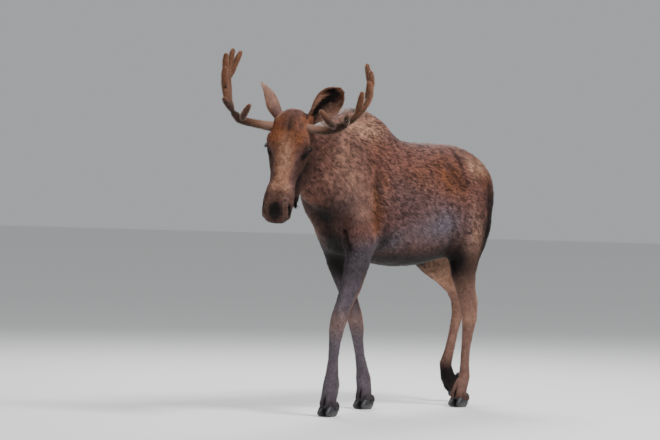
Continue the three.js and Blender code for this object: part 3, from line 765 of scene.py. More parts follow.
for name in EARS:
    leaf = bent_ear(name)
    mesh = bpy.data.meshes.new(name)
    leaf.to_mesh(mesh)
    leaf.free()
    skin.from_mesh(mesh)
    bpy.data.meshes.remove(mesh)
    part = np.append(part, np.full(len(skin.verts) - len(part), len(FLESH) + EARS.index(name)))
HIDE = FLESH + EARS
print("skin with ears:", len(skin.verts), "points")

# %% [markdown]
# ## Markings and painted light
# Four washes lie over the brown of the coat: an orange brown, a near black, a pale tan and a slate
# grey. Each is a share from 0 to 1, worked out from a place on the body, and the skin and every tuft
# that grows from it read the same function, so both carry the same markings. Some of it is painted
# light rather than the coat's own colour: the near black is deepened in creases and hollows as painted
# shade, and a few spots are painted highlights and sheen.

# %% The four washes
# a spot: its middle, its reach three ways and its strength
BODY_SPOTS = {
    "warm": (
        ((0.545, 0.225, 1.200), (0.034, 0.100, 0.130), 1.2),
        ((0.570, 0.235, 1.060), (0.030, 0.080, 0.070), 0.8),
        ((0.480, 0.200, 1.330), (0.070, 0.120, 0.090), 0.7),
        ((-0.190, 0.210, 1.360), (0.150, 0.160, 0.120), 0.9),
        ((0.100, 0.220, 1.340), (0.220, 0.160, 0.120), 0.6),
        ((-0.600, 0.170, 1.390), (0.100, 0.140, 0.070), 0.7),
        ((0.830, 0.0, 1.160), (0.140, 0.190, 0.110), 0.45),
        ((0.430, 0.120, 1.540), (0.140, 0.120, 0.090), 0.35),
    ),
    "dark": (
        ((-0.770, 0.0, 1.150), (0.120, 0.300, 0.180), 1.4),
        ((-0.650, 0.230, 1.140), (0.090, 0.100, 0.200), 1.2),
        ((-0.530, 0.240, 0.960), (0.085, 0.100, 0.160), 0.9),
        ((-0.340, 0.200, 0.860), (0.120, 0.110, 0.150), 0.5),
        ((-0.345, 0.180, 1.470), (0.018, 0.100, 0.110), 0.9),
        ((-0.290, 0.250, 1.090), (0.024, 0.080, 0.140), 0.45),
        ((0.150, 0.0, 0.860), (0.560, 0.280, 0.120), 1.7),
        ((-0.720, 0.150, 0.170), (0.130, 0.100, 0.090), 1.3),
        ((0.800, 0.0, 1.150), (0.140, 0.230, 0.110), 0.95),
        ((0.680, 0.0, 0.990), (0.130, 0.110, 0.090), 0.5),
        ((0.540, 0.0, 1.800), (0.300, 0.070, 0.060), 1.3),
        ((-0.050, 0.0, 1.605), (0.560, 0.075, 0.034), 0.7),
        ((0.990, 0.060, 1.400), (0.060, 0.130, 0.160), 0.5),
        ((-0.180, 0.230, 0.960), (0.130, 0.100, 0.080), 0.5),
        ((0.640, 0.050, 0.960), (0.130, 0.130, 0.080), 0.6),
        ((0.800, 0.0, 1.050), (0.100, 0.110, 0.110), 0.6),
        ((0.470, 0.215, 1.020), (0.060, 0.060, 0.110), 0.7),
        ((0.300, 0.240, 1.180), (0.140, 0.080, 0.120), 0.35),
    ),
    "pale": (
        # the first two, on top of the hump and of the rump, are partly paler hair and partly a painted
        # highlight of the light from above
        ((0.500, 0.090, 1.660), (0.200, 0.200, 0.080), 0.9),
        ((-0.570, 0.150, 1.450), (0.110, 0.150, 0.060), 0.8),
        ((0.740, 0.150, 1.430), (0.130, 0.150, 0.150), 0.55),
        # the inner thigh: partly paler hair, and made far paler as painted bounce light in its shade
        ((-0.570, 0.090, 0.860), (0.160, 0.090, 0.140), 3.0),
        ((0.650, 0.190, 1.200), (0.080, 0.080, 0.120), 0.3),
        ((-0.410, 0.255, 1.050), (0.060, 0.060, 0.160), 0.6),
        ((-0.440, 0.180, 1.450), (0.050, 0.100, 0.080), 0.7),
    ),
    "slate": (
        # the first three, on the lower flank, are partly greyer hair and partly a painted sheen of light on
        # hair that lies flat
        ((0.060, 0.275, 1.060), (0.300, 0.120, 0.100), 0.7),
        ((0.200, 0.250, 1.260), (0.320, 0.120, 0.120), 0.35),
        ((-0.110, 0.265, 1.130), (0.150, 0.110, 0.100), 0.5),
        ((0.740, 0.150, 1.220), (0.120, 0.110, 0.130), 0.40),
        ((0.420, 0.240, 0.990), (0.130, 0.100, 0.080), 0.7),
        ((0.600, 0.0, 1.780), (0.240, 0.100, 0.050), 0.7),
        ((0.0, 0.0, 1.600), (0.500, 0.090, 0.030), 0.5),
        ((-0.400, 0.255, 1.060), (0.080, 0.060, 0.140), 0.5),
    ),
}
HEAD_SPOTS = {
    "warm": (
        ((0.160, 0.010, 0.075), (0.060, 0.060, 0.040), 0.9),
        ((0.070, 0.000, 0.080), (0.060, 0.070, 0.040), 0.8),
        ((0.200, 0.020, 0.0), (0.110, 0.060, 0.070), 0.7),
        ((0.360, 0.010, 0.0), (0.170, 0.050, 0.050), 0.95),
        ((0.050, -0.055, 0.105), (0.050, 0.060, 0.050), 1.0),
        ((0.300, -0.120, 0.090), (0.120, 0.060, 0.050), 0.5),
    ),
    "dark": (
        ((0.112, 0.020, 0.0), (0.046, 0.040, 0.020), 0.42),
        ((0.100, 0.020, 0.0), (0.050, 0.040, 0.046), 0.42),
        ((0.020, -0.010, 0.0), (0.040, 0.050, 0.080), 0.40),
        ((0.612, 0.010, 0.0), (0.066, 0.075, 0.046), 0.62),
        ((0.514, 0.020, 0.0), (0.020, 0.040, 0.050), 0.35),
        ((0.262, -0.046, 0.108), (0.024, 0.014, 0.020), 1.5),
        ((0.208, -0.062, 0.118), (0.030, 0.026, 0.030), 1.0),
        ((0.600, -0.016, 0.074), (0.026, 0.016, 0.020), 1.6),
        ((0.640, -0.090, 0.0), (0.100, 0.045, 0.090), 1.2),
        ((0.330, -0.066, 0.090), (0.150, 0.040, 0.035), 0.50),
        ((0.440, -0.130, 0.050), (0.200, 0.060, 0.070), 0.8),
        ((0.260, -0.180, 0.080), (0.130, 0.080, 0.080), 0.7),
        ((0.545, -0.010, 0.065), (0.060, 0.060, 0.025), 0.3),
        ((0.605, 0.0, 0.0), (0.080, 0.090, 0.085), 0.62),
    ),
    "pale": (
        # a painted highlight on the end of the nose bone
        ((0.474, 0.010, 0.046), (0.026, 0.030, 0.024), 0.5),
        # these two are partly paler hair and partly a painted highlight along the top of the bridge
        ((0.390, 0.010, 0.0), (0.150, 0.050, 0.044), 0.50),
        ((0.280, 0.015, 0.010), (0.090, 0.050, 0.036), 0.55),
        # a painted highlight on each lobe of the muzzle
        ((0.600, 0.020, 0.055), (0.060, 0.040, 0.024), 0.45),
        ((0.095, 0.020, 0.014), (0.030, 0.040, 0.006), 0.35),
    ),
    "slate": (
        ((0.610, 0.0, 0.050), (0.080, 0.080, 0.080), 0.20),
        ((0.505, 0.0, 0.0), (0.040, 0.060, 0.080), 0.15),
        ((0.360, -0.020, 0.075), (0.120, 0.030, 0.030), 0.35),
    ),
}
RIGHT_EAR_TUFT = ((0.030, -0.040, -0.100), 0.034)  # a pale tuft before the right ear's root
NAPE = (0.133, -0.161)  # where the face's colours give way to the neck's
KNEES = ((0.0, 0.15, 0.53), (9.0, 0.3, 0.07))  # a paler band at the height of the knees
PATCH_SIZE = 0.050  # the warm and pale washes come in patches
FACE_CREASE_PAINTED_SHADE, BODY_CREASE_PAINTED_SHADE = 20, 45  # painted shade in creases and hollows: how much darker for each metre of their depth

CLOUD_SEED, CLOUD_CELLS = 5, 32
LATTICE = np.random.default_rng(CLOUD_SEED).random((CLOUD_CELLS,) * 3)


def cloud(points, cell):
    """Soft noise from 0 to 1 at each point; cell is the size of its patches."""
    place = points / cell
    base = np.floor(place).astype(int)
    part_way = place - base
    part_way = part_way * part_way * (3 - 2 * part_way)
    total = np.zeros(len(points))
    for corner in np.ndindex(2, 2, 2):
        weight = np.where(corner, part_way, 1 - part_way).prod(axis=1)
        i, j, k = ((base + corner) % len(LATTICE)).T
        total += weight * LATTICE[i, j, k]
    return total


def wash(places, spots):
    """The share of a wash at each place, from its soft-edged spots."""
    return sum(strength * near(places, centre, reach) for centre, reach, strength in spots)


def faceward(head):
    """1 on the face, 0 on the neck, for places on the head."""
    return ramp((head[:, 0] - NAPE[0]) * 0.37 + (head[:, 1] - NAPE[1]) * 0.93, -0.030, 0.030)


def behind_leg(body, numbers):
    """How far each place on a leg is behind the leg's middle line."""
    behind = np.zeros(len(body))
    for number, name in enumerate(HIDE):
        leg = name.rsplit("_", 1)[0]
        if leg in LEG_LINES:
            line = np.array(LEG_LINES[leg])[::-1]
            mine = numbers == number
            behind[mine] = np.interp(body[mine, 2], line[:, 2], line[:, 0]) - body[mine, 0]
    return behind


def markings_and_painted_light(points, normals, numbers):
    """The four washes at each point: orange brown, near black, pale tan and slate grey, with painted shade in
    the creases and a few spots of painted highlight and sheen.
    """
    body, head = folded(on_body(points), 1), folded(on_head(points), 2)
    face = faceward(head) * (numbers == head_number)
    shares = {}
    for kind in ("warm", "dark", "pale", "slate"):
        shares[kind] = wash(head, HEAD_SPOTS[kind]) * face + wash(body, BODY_SPOTS[kind]) * (1 - face)
    patchy = 0.45 + 1.1 * cloud(points, PATCH_SIZE)
    for kind in ("warm", "pale"):
        shares[kind] = shares[kind] * patchy
    # creases and hollows are darkened in proportion to their depth, as painted shade
    crease_painted_shade = np.maximum(-raised(head, HEAD_FORMS), 0) * face
    crease_painted_shade = crease_painted_shade + np.maximum(-raised(body, BODY_FORMS), 0) * (1 - face)
    shares["dark"] = shares["dark"] + crease_painted_shade * (BODY_CREASE_PAINTED_SHADE * (1 - face) + FACE_CREASE_PAINTED_SHADE * face)

    leg = close_to_leg(on_body(points)) * (numbers != head_number) * (numbers < len(FLESH))
    z = body[:, 2]
    behind = behind_leg(on_body(points), numbers)
    tan = leg * ramp(behind, 0.008, 0.040) * ramp(z, 0.12, 0.30) * ramp(z, 0.86, 0.66)
    fore = ramp(body[:, 0], -0.2, 0.0)
    shares["slate"] = shares["slate"] + leg * (0.25 + 0.65 * fore) * (1 - 0.7 * tan)
    shares["pale"] = shares["pale"] + tan * 0.55 + leg * 0.30 * (1 - fore) + leg * 0.3 * near(body, *KNEES)
    shares["warm"] = shares["warm"] + tan * 0.40
    shares["dark"] = shares["dark"] + leg * 0.5 * ramp(z, 0.15, 0.06)
    # the cleft between the claws is darkened as painted shade
    for name in LEGS:
        mine = numbers == FLESH.index(f"{name}_lower")
        shares["dark"][mine] += 0.9 * cleft_at(on_foot(points[mine], name))
    shares["dark"] = np.where(numbers == FLESH.index("bell"), 1.0, shares["dark"])

    for name, side in (("ear_left", LEFT), ("ear_right", RIGHT)):
        mine = numbers == HIDE.index(name)
        share, over, inner = ear_places(points[mine], normals[mine], name)
        rim = np.maximum(ramp(np.abs(over), 0.72, 0.95), ramp(share, 0.84, 0.96))
        outer_half = ramp(over, 0.05, 0.50)
        shares["dark"][mine] = inner * (1 - rim) * (1.0 - 0.45 * outer_half) + (1 - inner) * 0.15
        shares["warm"][mine] = inner * (0.5 * rim + 0.4 * outer_half) + (1 - inner) * 0.05
        shares["pale"][mine] = (1 - inner) * (0.60 - 0.4 * ramp(share, 0.3, 0.0)) + inner * rim * 0.30
        shares["slate"][mine] = (1 - inner) * 0.30
    tuft = near(on_head(points), *RIGHT_EAR_TUFT) * (numbers == head_number)
    shares["pale"] = shares["pale"] + 2.4 * tuft
    return np.clip(np.column_stack([shares[kind] for kind in ("warm", "dark", "pale", "slate")]), 0, 1)


# %% [markdown]
# ## Finish of the coat
# Deer hair is hollow, stiff and banded: dark at the root, and brown or grey towards its tip. It is
# rough to the eye, with a faint sheen where it lies flat. The tree mixes a root colour into a tip
# colour along each tuft, lays the four washes over it, and lets each tuft differ a little.

# %% The coat's nodes
BLACK_HAIR_SHARE = 0.65
HAIR = {  # each kind of hair: its colour at the root and at the tip
    "brown": ("#21120d", "#8a5c51"),
    "warm": ("#2b140c", "#985a38"),
    "pale": ("#5c3f2d", "#cc9a80"),
    "slate": ("#1d191d", "#756d77"),
    "dark": ("#060403", "#1a100e"),
}


def coat_material(name, grain_size, bump_depth):
    """A coat. The attribute strand holds how far up a tuft a point is, its tone and a second chance."""
    material = new_material(name)
    washes = add(material, "Attribute", {"attribute_name": "markings_and_painted_light"})
    share = add(material, "SeparateColor", inputs={"Color": washes.outputs["Color"]}).outputs
    strand = add(material, "Attribute", {"attribute_name": "strand"})
    along, tone, second = add(material, "SeparateXYZ", inputs={"Vector": strand.outputs["Vector"]}).outputs
    place = add(material, "TexCoord").outputs["Object"]
    grain = add(material, "TexNoise", inputs={"Vector": place, "Scale": 1 / grain_size, "Detail": 2.0})
    tips = add(material, "Math", {"operation": "MULTIPLY_ADD"}, {0: grain.outputs["Fac"], 1: 0.5, 2: along})
    colour = None
    for kind, amount in (("brown", None), ("warm", share["Red"]), ("slate", washes.outputs["Alpha"]),
                         ("pale", share["Blue"]), ("dark", share["Green"])):
        root, tip = (linear(value) for value in HAIR[kind])
        hair = add(material, "Mix", COLOURS, {MIX_SHARE: tips.outputs[0], MIX_A: root, MIX_B: tip})
        hair = hair.outputs[MIX_RESULT]
        if colour is not None:
            laid = add(material, "Mix", COLOURS, {MIX_SHARE: amount, MIX_A: colour, MIX_B: hair})
            hair = laid.outputs[MIX_RESULT]
        colour = hair

    # a few black guard hairs stand among the brown ones
    is_black = add(material, "MapRange", inputs={
        "Value": second, "From Min": 0.68, "From Max": 0.76, "To Max": BLACK_HAIR_SHARE})
    peppered = add(material, "Mix", COLOURS, {
        MIX_SHARE: is_black.outputs[0], MIX_A: colour, MIX_B: linear("#0d0a0a")})
    light = add(material, "Math", {"operation": "MULTIPLY_ADD"}, {0: tone, 1: 1.5, 2: 0.25})
    toned = add(material, "HueSaturation", inputs={
        "Value": light.outputs[0], "Color": peppered.outputs[MIX_RESULT]})
    bump = add(material, "Bump", inputs={
        "Height": grain.outputs["Fac"], "Strength": 0.6, "Distance": bump_depth})
    # keratin, grown: dry and rough, so that it glows a little at grazing light and never glints
    shader = add(material, "BsdfPrincipled", inputs={
        "Base Color": toned.outputs["Color"], "Roughness": 0.60, "Specular IOR Level": 0.18,
        "Sheen Weight": 0.06, "Sheen Roughness": 0.4, "Sheen Tint": linear("#d8c6bc"),
        "Normal": bump.outputs["Normal"]})
    add(material, "OutputMaterial", inputs={"Surface": shader.outputs["BSDF"]})
    return material


# size of the grain of the coat and depth of its bump: wisps of long hair, and single short hairs drawn
# coarse enough to show
long_coat = coat_material("moose_guard_hair", 0.005, 0.0010)
flat_coat = coat_material("moose_flat_short_hair", 0.0022, 0.0005)
print("coats:", long_coat.name, flat_coat.name)

# %% Finish the skin: its attributes, its unwrap and its material by part
UNDER_TUFTS = 0.20  # the skin reads the tufts' tree as if near their roots
FLAT_FUR = 0.55  # where the fur lies flat it is mostly the skin's own finish
FLAT_FROM, FLAT_RAGGED = 0.94, 0.16  # the long coat ends at about this height on the legs, raggedly
GRAIN_MIDDLE = 0.25  # what the grain adds to a point's place up the tuft, on average


def add_attribute(mesh, name, kind, values):
    """Writes one value for each point of a mesh."""
    layer = mesh.attributes.new(name, kind, "POINT")
    layer.data.foreach_set("color" if kind == "FLOAT_COLOR" else "vector", values.astype(np.float32).ravel())


def contrast(points, numbers):
    """How much the tufts differ in tone: most on the neck, the hump and the flank."""
    body = folded(on_body(points), 1)
    rough = np.full(len(points), 0.85)
    rough -= 0.55 * near(body, (0.680, 0.180, 1.180), (0.150, 0.150, 0.200))
    rough -= 0.45 * near(body, (0.100, 0.270, 1.060), (0.350, 0.120, 0.120))
    leg = close_to_leg(on_body(points))
    rough = np.clip(rough, 0.2, 1) * (1 - leg) + 0.30 * leg
    return np.where(numbers >= len(FLESH), 0.30, np.where(numbers == head_number, 0.45, rough))


def tones(points, numbers):
    """The tone of the hair at each point, in streaks about 7 mm wide, round a middle of 0.5."""
    streaks = cloud(points, 0.0068) + 0.6 * cloud(points, 0.021) - 0.8
    return np.clip(0.5 + 1.6 * streaks * contrast(points, numbers), 0.02, 1)


where = places_of(skin)
ragged_top = FLAT_FROM + FLAT_RAGGED * (cloud(where, 0.045) - 0.5)
over_legs = np.isin(part, [FLESH.index(f"{leg}_upper") for leg in LEGS])
part[over_legs & (on_body(where)[:, 2] > ragged_top)] = FLESH.index("trunk")

skin_piece = finish_piece(skin, "skin", [long_coat, flat_coat])
skin_mesh = skin_piece.data
skin_points = np.array([corner.co for corner in skin_mesh.vertices])
skin_normals = np.array([corner.normal for corner in skin_mesh.vertices])
is_flat = (part == head_number) | (part > last_soft)
add_attribute(skin_mesh, "markings_and_painted_light", "FLOAT_COLOR", markings_and_painted_light(skin_points, skin_normals, part))
up_tuft = np.where(is_flat, FLAT_FUR, UNDER_TUFTS) - GRAIN_MIDDLE
skin_tone = tones(skin_points, part) * np.where(is_flat, 1, 0.8)
add_attribute(skin_mesh, "strand", "FLOAT_VECTOR", np.column_stack((up_tuft, skin_tone, 0 * up_tuft)))
first_corner = np.array([face.vertices[0] for face in skin_mesh.polygons])
skin_mesh.polygons.foreach_set("material_index", is_flat[first_corner].astype(np.int32))
print("points of the skin with flat fur:", int(is_flat.sum()), "of", len(is_flat))


# %% Unwrap the skin
def unwrap(piece):
    """Gives a piece an unwrap of its own shape, the map OFBake."""
    bpy.ops.object.select_all(action="DESELECT")
    bpy.context.view_layer.objects.active = piece
    piece.select_set(True)
    piece.data.uv_layers.new(name="OFBake")
    bpy.ops.object.mode_set(mode="EDIT")
    bpy.ops.mesh.select_all(action="SELECT")
    bpy.ops.uv.smart_project(angle_limit=1.15, island_margin=0.002, scale_to_bounds=False)
    bpy.ops.object.mode_set(mode="OBJECT")
    piece.select_set(False)


unwrap(skin_piece)
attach(skin_piece, "root")
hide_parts(*FLESH, *EARS)

# %% [markdown]
# ## How the hair lies
# Hair leans away from the nose: up the face, back along the neck and the barrel, and down the legs.
# At each root the lie is that direction, laid into the skin. A small wander keeps it from looking
# combed.

# %% The lie of the hair
BACKWARD = np.array((-0.90, 0.0, -0.38))
DOWN_NECK = np.array((-0.78, 0.0, -0.60))
DOWN_RUMP = np.array((-0.45, 0.0, -0.90))
DOWN_BLADE = np.array((-0.50, 0.0, -0.86))
LINE_STEP = 0.03  # a leg's own direction is read between two heights this far from the point


def lie(points, normals, numbers):
    """The direction in which the hair lies at each point, along the skin."""
    body, head = on_body(points), folded(on_head(points), 2)
    x, z = body[:, 0], body[:, 2]
    flow = np.tile(BACKWARD, (len(points), 1))
    rump = ramp(x, -0.25, -0.60)[:, None]
    flow = flow * (1 - rump) + DOWN_RUMP * rump
    blade = (ramp(x, 0.35, 0.60) * ramp(z, 1.70, 1.35))[:, None]
    flow = flow * (1 - blade) + DOWN_BLADE * blade
    flow[numbers == neck_number] = DOWN_NECK
    for number, name in enumerate(FLESH):
        leg = name.rsplit("_", 1)[0]
        if leg not in LEG_LINES:
            continue
        line = np.array(LEG_LINES[leg])[::-1]
        mine = numbers == number
        low, high = ([np.interp(z[mine] + move, line[:, 2], line[:, k]) for k in range(3)]
                     for move in (-LINE_STEP, LINE_STEP))
        flow[mine] = np.column_stack(low) - np.column_stack(high)
    flow[np.isin(numbers, SHAGGY)] = (-0.1, 0.0, -1.0)
    mine = numbers == head_number
    cheek = ramp(head[:, 1], -0.03, -0.15)[:, None]
    face = -muzzle_ward * (1 - 0.55 * cheek) - brow_ward * (0.10 + 0.75 * cheek)
    flow[mine] = face[mine]
    for name in EARS:
        mine = numbers == HIDE.index(name)
        flow[mine] = ear_axes(name)[2]
    flow = flow - normals * (flow * normals).sum(axis=1)[:, None]
    return flow / np.maximum(np.linalg.norm(flow, axis=1), 1e-6)[:, None]


# %% [markdown]
# ## Sowing tufts
# A tuft is a narrow blade of three triangles: two at its root and one to its tip. Thousands are made
# at once as arrays. Roots fall on the skin's triangles in proportion to their area and to how thick
# the coat is there. Each blade leaves the skin at a low angle and bends flat, and it is shaded partly
# with the skin's own normal, as a mass of hair is. Its small patch on the OFBake map lies at its
# root's place on the skin's unwrap.

# %% The skin as triangles to sow on
BLADE_PATCH = 0.003
BLADE_UV = np.array(((0.0, 0.0), (1.0, 0.0), (1.0, 0.5), (0.0, 0.5), (0.5, 1.0)))


def read_array(items, name, width, kind=np.float32):
    """One property of all the items of a mesh, as an array with a row for each."""
    values = np.empty(len(items) * width, kind)
    items.foreach_get(name, values)
    return values.reshape(-1, width)


def ground_of(piece, numbers):
    """What roots are sown on: a piece's triangles, with the part number of each of its points."""
    mesh = piece.data
    mesh.calc_loop_triangles()
    corners = read_array(mesh.loop_triangles, "vertices", 3, np.int32)
    points = read_array(mesh.vertices, "co", 3).astype(float)
    sides = points[corners[:, 1:]] - points[corners[:, :1]]
    return {
        "points": points, "corners": corners, "part": numbers[corners[:, 0]],
        "middle": points[corners].mean(axis=1),
        "normals": read_array(mesh.vertices, "normal", 3).astype(float),
        "uv": read_array(mesh.uv_layers["OFBake"].uv, "vector", 2).astype(float),
        "loops": read_array(mesh.loop_triangles, "loops", 3, np.int32),
        "area": np.linalg.norm(np.cross(sides[:, 0], sides[:, 1]), axis=1) / 2,
    }


def roots_on(ground, weights, number, chance):
    """Places, normals, unwrap places and part numbers of roots, sown by each triangle's weight."""
    reached = np.cumsum(weights * ground["area"])
    picked = np.searchsorted(reached, chance.random(number) * reached[-1])
    first, second = chance.random((2, number))
    swap = first + second > 1
    first, second = np.where(swap, 1 - first, first), np.where(swap, 1 - second, second)
    shares = np.column_stack((1 - first - second, first, second))[:, :, None]
    corners = ground["corners"][picked]
    at = (ground["points"][corners] * shares).sum(axis=1)
    out = (ground["normals"][corners] * shares).sum(axis=1)
    uv = (ground["uv"][ground["loops"][picked]] * shares).sum(axis=1)
    return at, out / np.linalg.norm(out, axis=1)[:, None], uv, ground["part"][picked]


skin_ground = ground_of(skin_piece, part)
triangle_part, triangle_middle = skin_ground["part"], skin_ground["middle"]
triangle_count = len(triangle_part)
print("skin:", triangle_count, "triangles,", round(float(skin_ground["area"].sum()), 2), "square metres")


# %% Blades of hair from arrays
ROOT_SUNK = 0.0008  # below the skin, so that no root floats
BEND_ALONG, BEND_UP = 0.42, 0.585  # where a blade bends, as shares of its reach and its height
BEND_WIDTH = 0.8
BLADE_CORNERS = np.array((0, 1, 2, 3, 3, 2, 4))  # a quad and the triangle of the tip


def blades(name, roots, flow, length, width, height, material, chance, marks=None, softness=0.7,
           own_tones=None):
    """One joined mesh of blades. Height is how far each tip stands from the skin."""
    at, out, uv, numbers = roots
    n = len(at)
    tone = tones(at, numbers)
    wander = chance.normal(0, 0.12, n) + 0.8 * (cloud(at, 0.030) - 0.5)
    side = np.cross(out, flow)
    flow = flow * np.cos(wander)[:, None] + side * np.sin(wander)[:, None]
    side = np.cross(out, flow)
    length = length * chance.uniform(0.7, 1.15, n)
    height = height * chance.uniform(0.5, 1.1, n) * (0.6 + 0.8 * cloud(at, 0.016))
    height = np.minimum(height, 0.92 * length)
    reach = np.sqrt(length ** 2 - height ** 2)
    half = (width * chance.uniform(0.7, 1.2, n) / 2)[:, None]
    start = at - out * ROOT_SUNK
    middle = at + flow * (reach * BEND_ALONG)[:, None] + out * (height * BEND_UP)[:, None]
    tip = at + flow * reach[:, None] + out * height[:, None]
    places = np.stack((start + side * half, start - side * half, middle - side * half * BEND_WIDTH,
                       middle + side * half * BEND_WIDTH, tip), axis=1)
    blade = tip - start
    blade_out = out - blade * ((out * blade).sum(axis=1) / (blade ** 2).sum(axis=1))[:, None]
    blade_out /= np.maximum(np.linalg.norm(blade_out, axis=1), 1e-9)[:, None]
    shade = out * softness + blade_out * (1 - softness) + side * chance.normal(0, 0.20, n)[:, None]
    shade /= np.linalg.norm(shade, axis=1)[:, None]

    mesh = bpy.data.meshes.new(name)
    mesh.vertices.add(5 * n)
    mesh.vertices.foreach_set("co", places.astype(np.float32).ravel())
    each = np.arange(n, dtype=np.int32)[:, None]
    mesh.loops.add(7 * n)
    mesh.loops.foreach_set("vertex_index", (BLADE_CORNERS + 5 * each).astype(np.int32).ravel())
    mesh.polygons.add(2 * n)
    mesh.polygons.foreach_set("loop_start", (np.array((0, 4)) + 7 * each).astype(np.int32).ravel())
    mesh.update(calc_edges=True)
    layer = mesh.uv_layers.new(name="OFBake")
    patch = uv[:, None, :] + (BLADE_UV[BLADE_CORNERS] - 0.5) * BLADE_PATCH
    layer.uv.foreach_set("vector", np.clip(patch, 0, 1).astype(np.float32).ravel())
    marks = markings_and_painted_light(at, out, numbers) if marks is None else np.tile(marks, (n, 1))
    add_attribute(mesh, "markings_and_painted_light", "FLOAT_COLOR", np.repeat(marks, 5, axis=0))
    along = np.tile((0.0, 0.0, 0.50, 0.50, 1.0), n) - GRAIN_MIDDLE
    tone = np.clip(tone + chance.normal(0, 0.07, n), 0, 1)
    black = chance.random(n) * contrast(at, numbers) * 1.15
    if own_tones is not None:
        tone, black = own_tones
    strand = np.column_stack((along, np.repeat(tone, 5), np.repeat(black, 5)))
    add_attribute(mesh, "strand", "FLOAT_VECTOR", strand)
    mesh.materials.append(material)
    mesh.shade_smooth()
    mesh.normals_split_custom_set_from_vertices(np.repeat(shade, 5, axis=0))
    piece = bpy.data.objects.new(name, mesh)
    bpy.context.scene.collection.objects.link(piece)
    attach(piece, "root")
    print(f"{name}: {n} blades, {3 * n} triangles")
    return piece


# %% [markdown]
# ## The coat, region by region
# A museum coat is not one length. It is shortest on the face and the feet, longer on the barrel,
# and longest on the hump, down the throat and on the bell. Each region is a piece of its own, under
# 200,000 triangles.

# %% Length of the hair
EAR_ROOT = (0.026, -0.070, 0.100)
BARE = (
    ((0.600, -0.014, 0.072), 0.014),  # inside the nostril
    ((0.640, 0.006, 0.0), 0.016),  # the bare pad between the nostrils
)


BARREL_HAIR, NECK_MORE, EAR_HAIR, TAIL_HAIR, BELL_HAIR = 0.027, 0.006, 0.010, 0.032, 0.045
SHANK_HAIR, UPPER_LEG_HAIR_MORE, CORONET_MORE = 0.007, 0.012, 0.014
FACE_HAIR, FOREHEAD_MORE, CHEEK_MORE, EAR_ROOT_MORE = 0.0045, 0.006, 0.010, 0.016
LONGER = (  # how much longer, about which body place, and how far round it
    (0.020, (0.56, 0.0, 1.76), (0.30, 0.12, 0.11)),  # the hump
    (0.010, (0.75, 0.0, 1.30), (0.20, 0.14, 0.25)),  # the throat
    (0.008, (0.10, 0.0, 0.86), (0.60, 0.20, 0.08)),  # the belly
)
SHORTER = (0.014, (0.715, 0.080, 1.000), (0.09, 0.11, 0.09))  # between the forelegs
EAR_COAT_HEIGHT, EAR_ROOT_HIGHER, CORONET_HIGHER = 0.0035, 0.010, 0.004


def coronet(points, numbers):
    """1 just above each hoof, where the hair hangs over the horn."""
    share = np.zeros(len(points))
    for leg in LEGS:
        mine = numbers == FLESH.index(f"{leg}_lower")
        share[mine] = ramp(over_hair_line(on_foot(points[mine], leg)), 0.035, 0.012)
    return share


def hair_length(points, numbers):
    """Length of the hair at each point."""
    body, head = folded(on_body(points), 1), folded(on_head(points), 2)
    length = np.full(len(points), BARREL_HAIR)
    for more, centre, reach in LONGER:
        length += more * near(body, centre, reach)
    length[numbers == neck_number] += NECK_MORE
    face = FACE_HAIR + FOREHEAD_MORE * ramp(head[:, 0], 0.56, 0.25)
    face += CHEEK_MORE * ramp(head[:, 1], -0.10, -0.18) + EAR_ROOT_MORE * near(head, EAR_ROOT, 0.040)
    length = np.where(numbers == head_number, face, length)
    less, centre, reach = SHORTER
    length -= less * near(body, centre, reach)
    leg = close_to_leg(on_body(points)) * (numbers != head_number)
    length = length * (1 - leg) + (SHANK_HAIR + UPPER_LEG_HAIR_MORE * ramp(body[:, 2], 0.40, 1.0)) * leg
    length += CORONET_MORE * coronet(points, numbers)
    length = np.where(numbers == FLESH.index("tail"), TAIL_HAIR, length)
    length = np.where(numbers == FLESH.index("bell"), BELL_HAIR, length)
    return np.where(numbers >= len(FLESH), EAR_HAIR, length)


def coat_height(points, numbers):
    """How far the tips stand from the skin: up to the solids' surface."""
    depth = coat_depth(points, np.minimum(numbers, len(FLESH) - 1))
    by_ear = near(folded(on_head(points), 2), EAR_ROOT, 0.035) * (numbers == head_number)
    depth += EAR_ROOT_HIGHER * by_ear + CORONET_HIGHER * coronet(points, numbers)
    return np.where(numbers >= len(FLESH), EAR_COAT_HEIGHT, depth)


def grows(places):
    """The share of the coat that grows at each head place: none on bare skin."""
    bare = sum(np.exp(-((places - np.array(centre)) ** 2).sum(axis=1) / reach ** 2) for centre, reach in BARE)
    below = out_at_mouth(places[:, 0]) - places[:, 1]
    slit = np.exp(-(below / 0.004) ** 2) * (places[:, 0] > MOUTH_CORNER[0])
    return np.clip(1 - 1.3 * bare - slit, 0, 1)


# %% Sow the regions
SHOULDERS_FROM, BARREL_FROM = 0.36, -0.20  # places along the body where one region gives way to the next
BARE_LIDS, BY_LIDS = 1.25, 0.03  # no hair within this share of the lids' opening, near the ball
COAT_SEED, FRINGE_SEED, LASH_SEED, PILE_SEED = 11, 41, 61, 71

x_of = on_body(triangle_middle)[:, 0]
is_trunk = triangle_part == FLESH.index("trunk")
middle_on_head = folded(on_head(triangle_middle), 2)
open_skin = np.ones(triangle_count)
for side in (LEFT, RIGHT):
    opening, _, distance = opening_at(triangle_middle, side)
    open_skin[(opening < BARE_LIDS) & (distance < BY_LIDS)] = 0


def parts_named(*endings):
    """Which of the skin's triangles lie on parts whose names end like this."""
    chosen = [number for number, name in enumerate(HIDE) if name.endswith(endings)]
    return np.isin(triangle_part, chosen)


on_forelegs = parts_named("foreleg_left_upper", "foreleg_right_upper")
on_hind_legs = parts_named("hindleg_left_upper", "hindleg_right_upper")
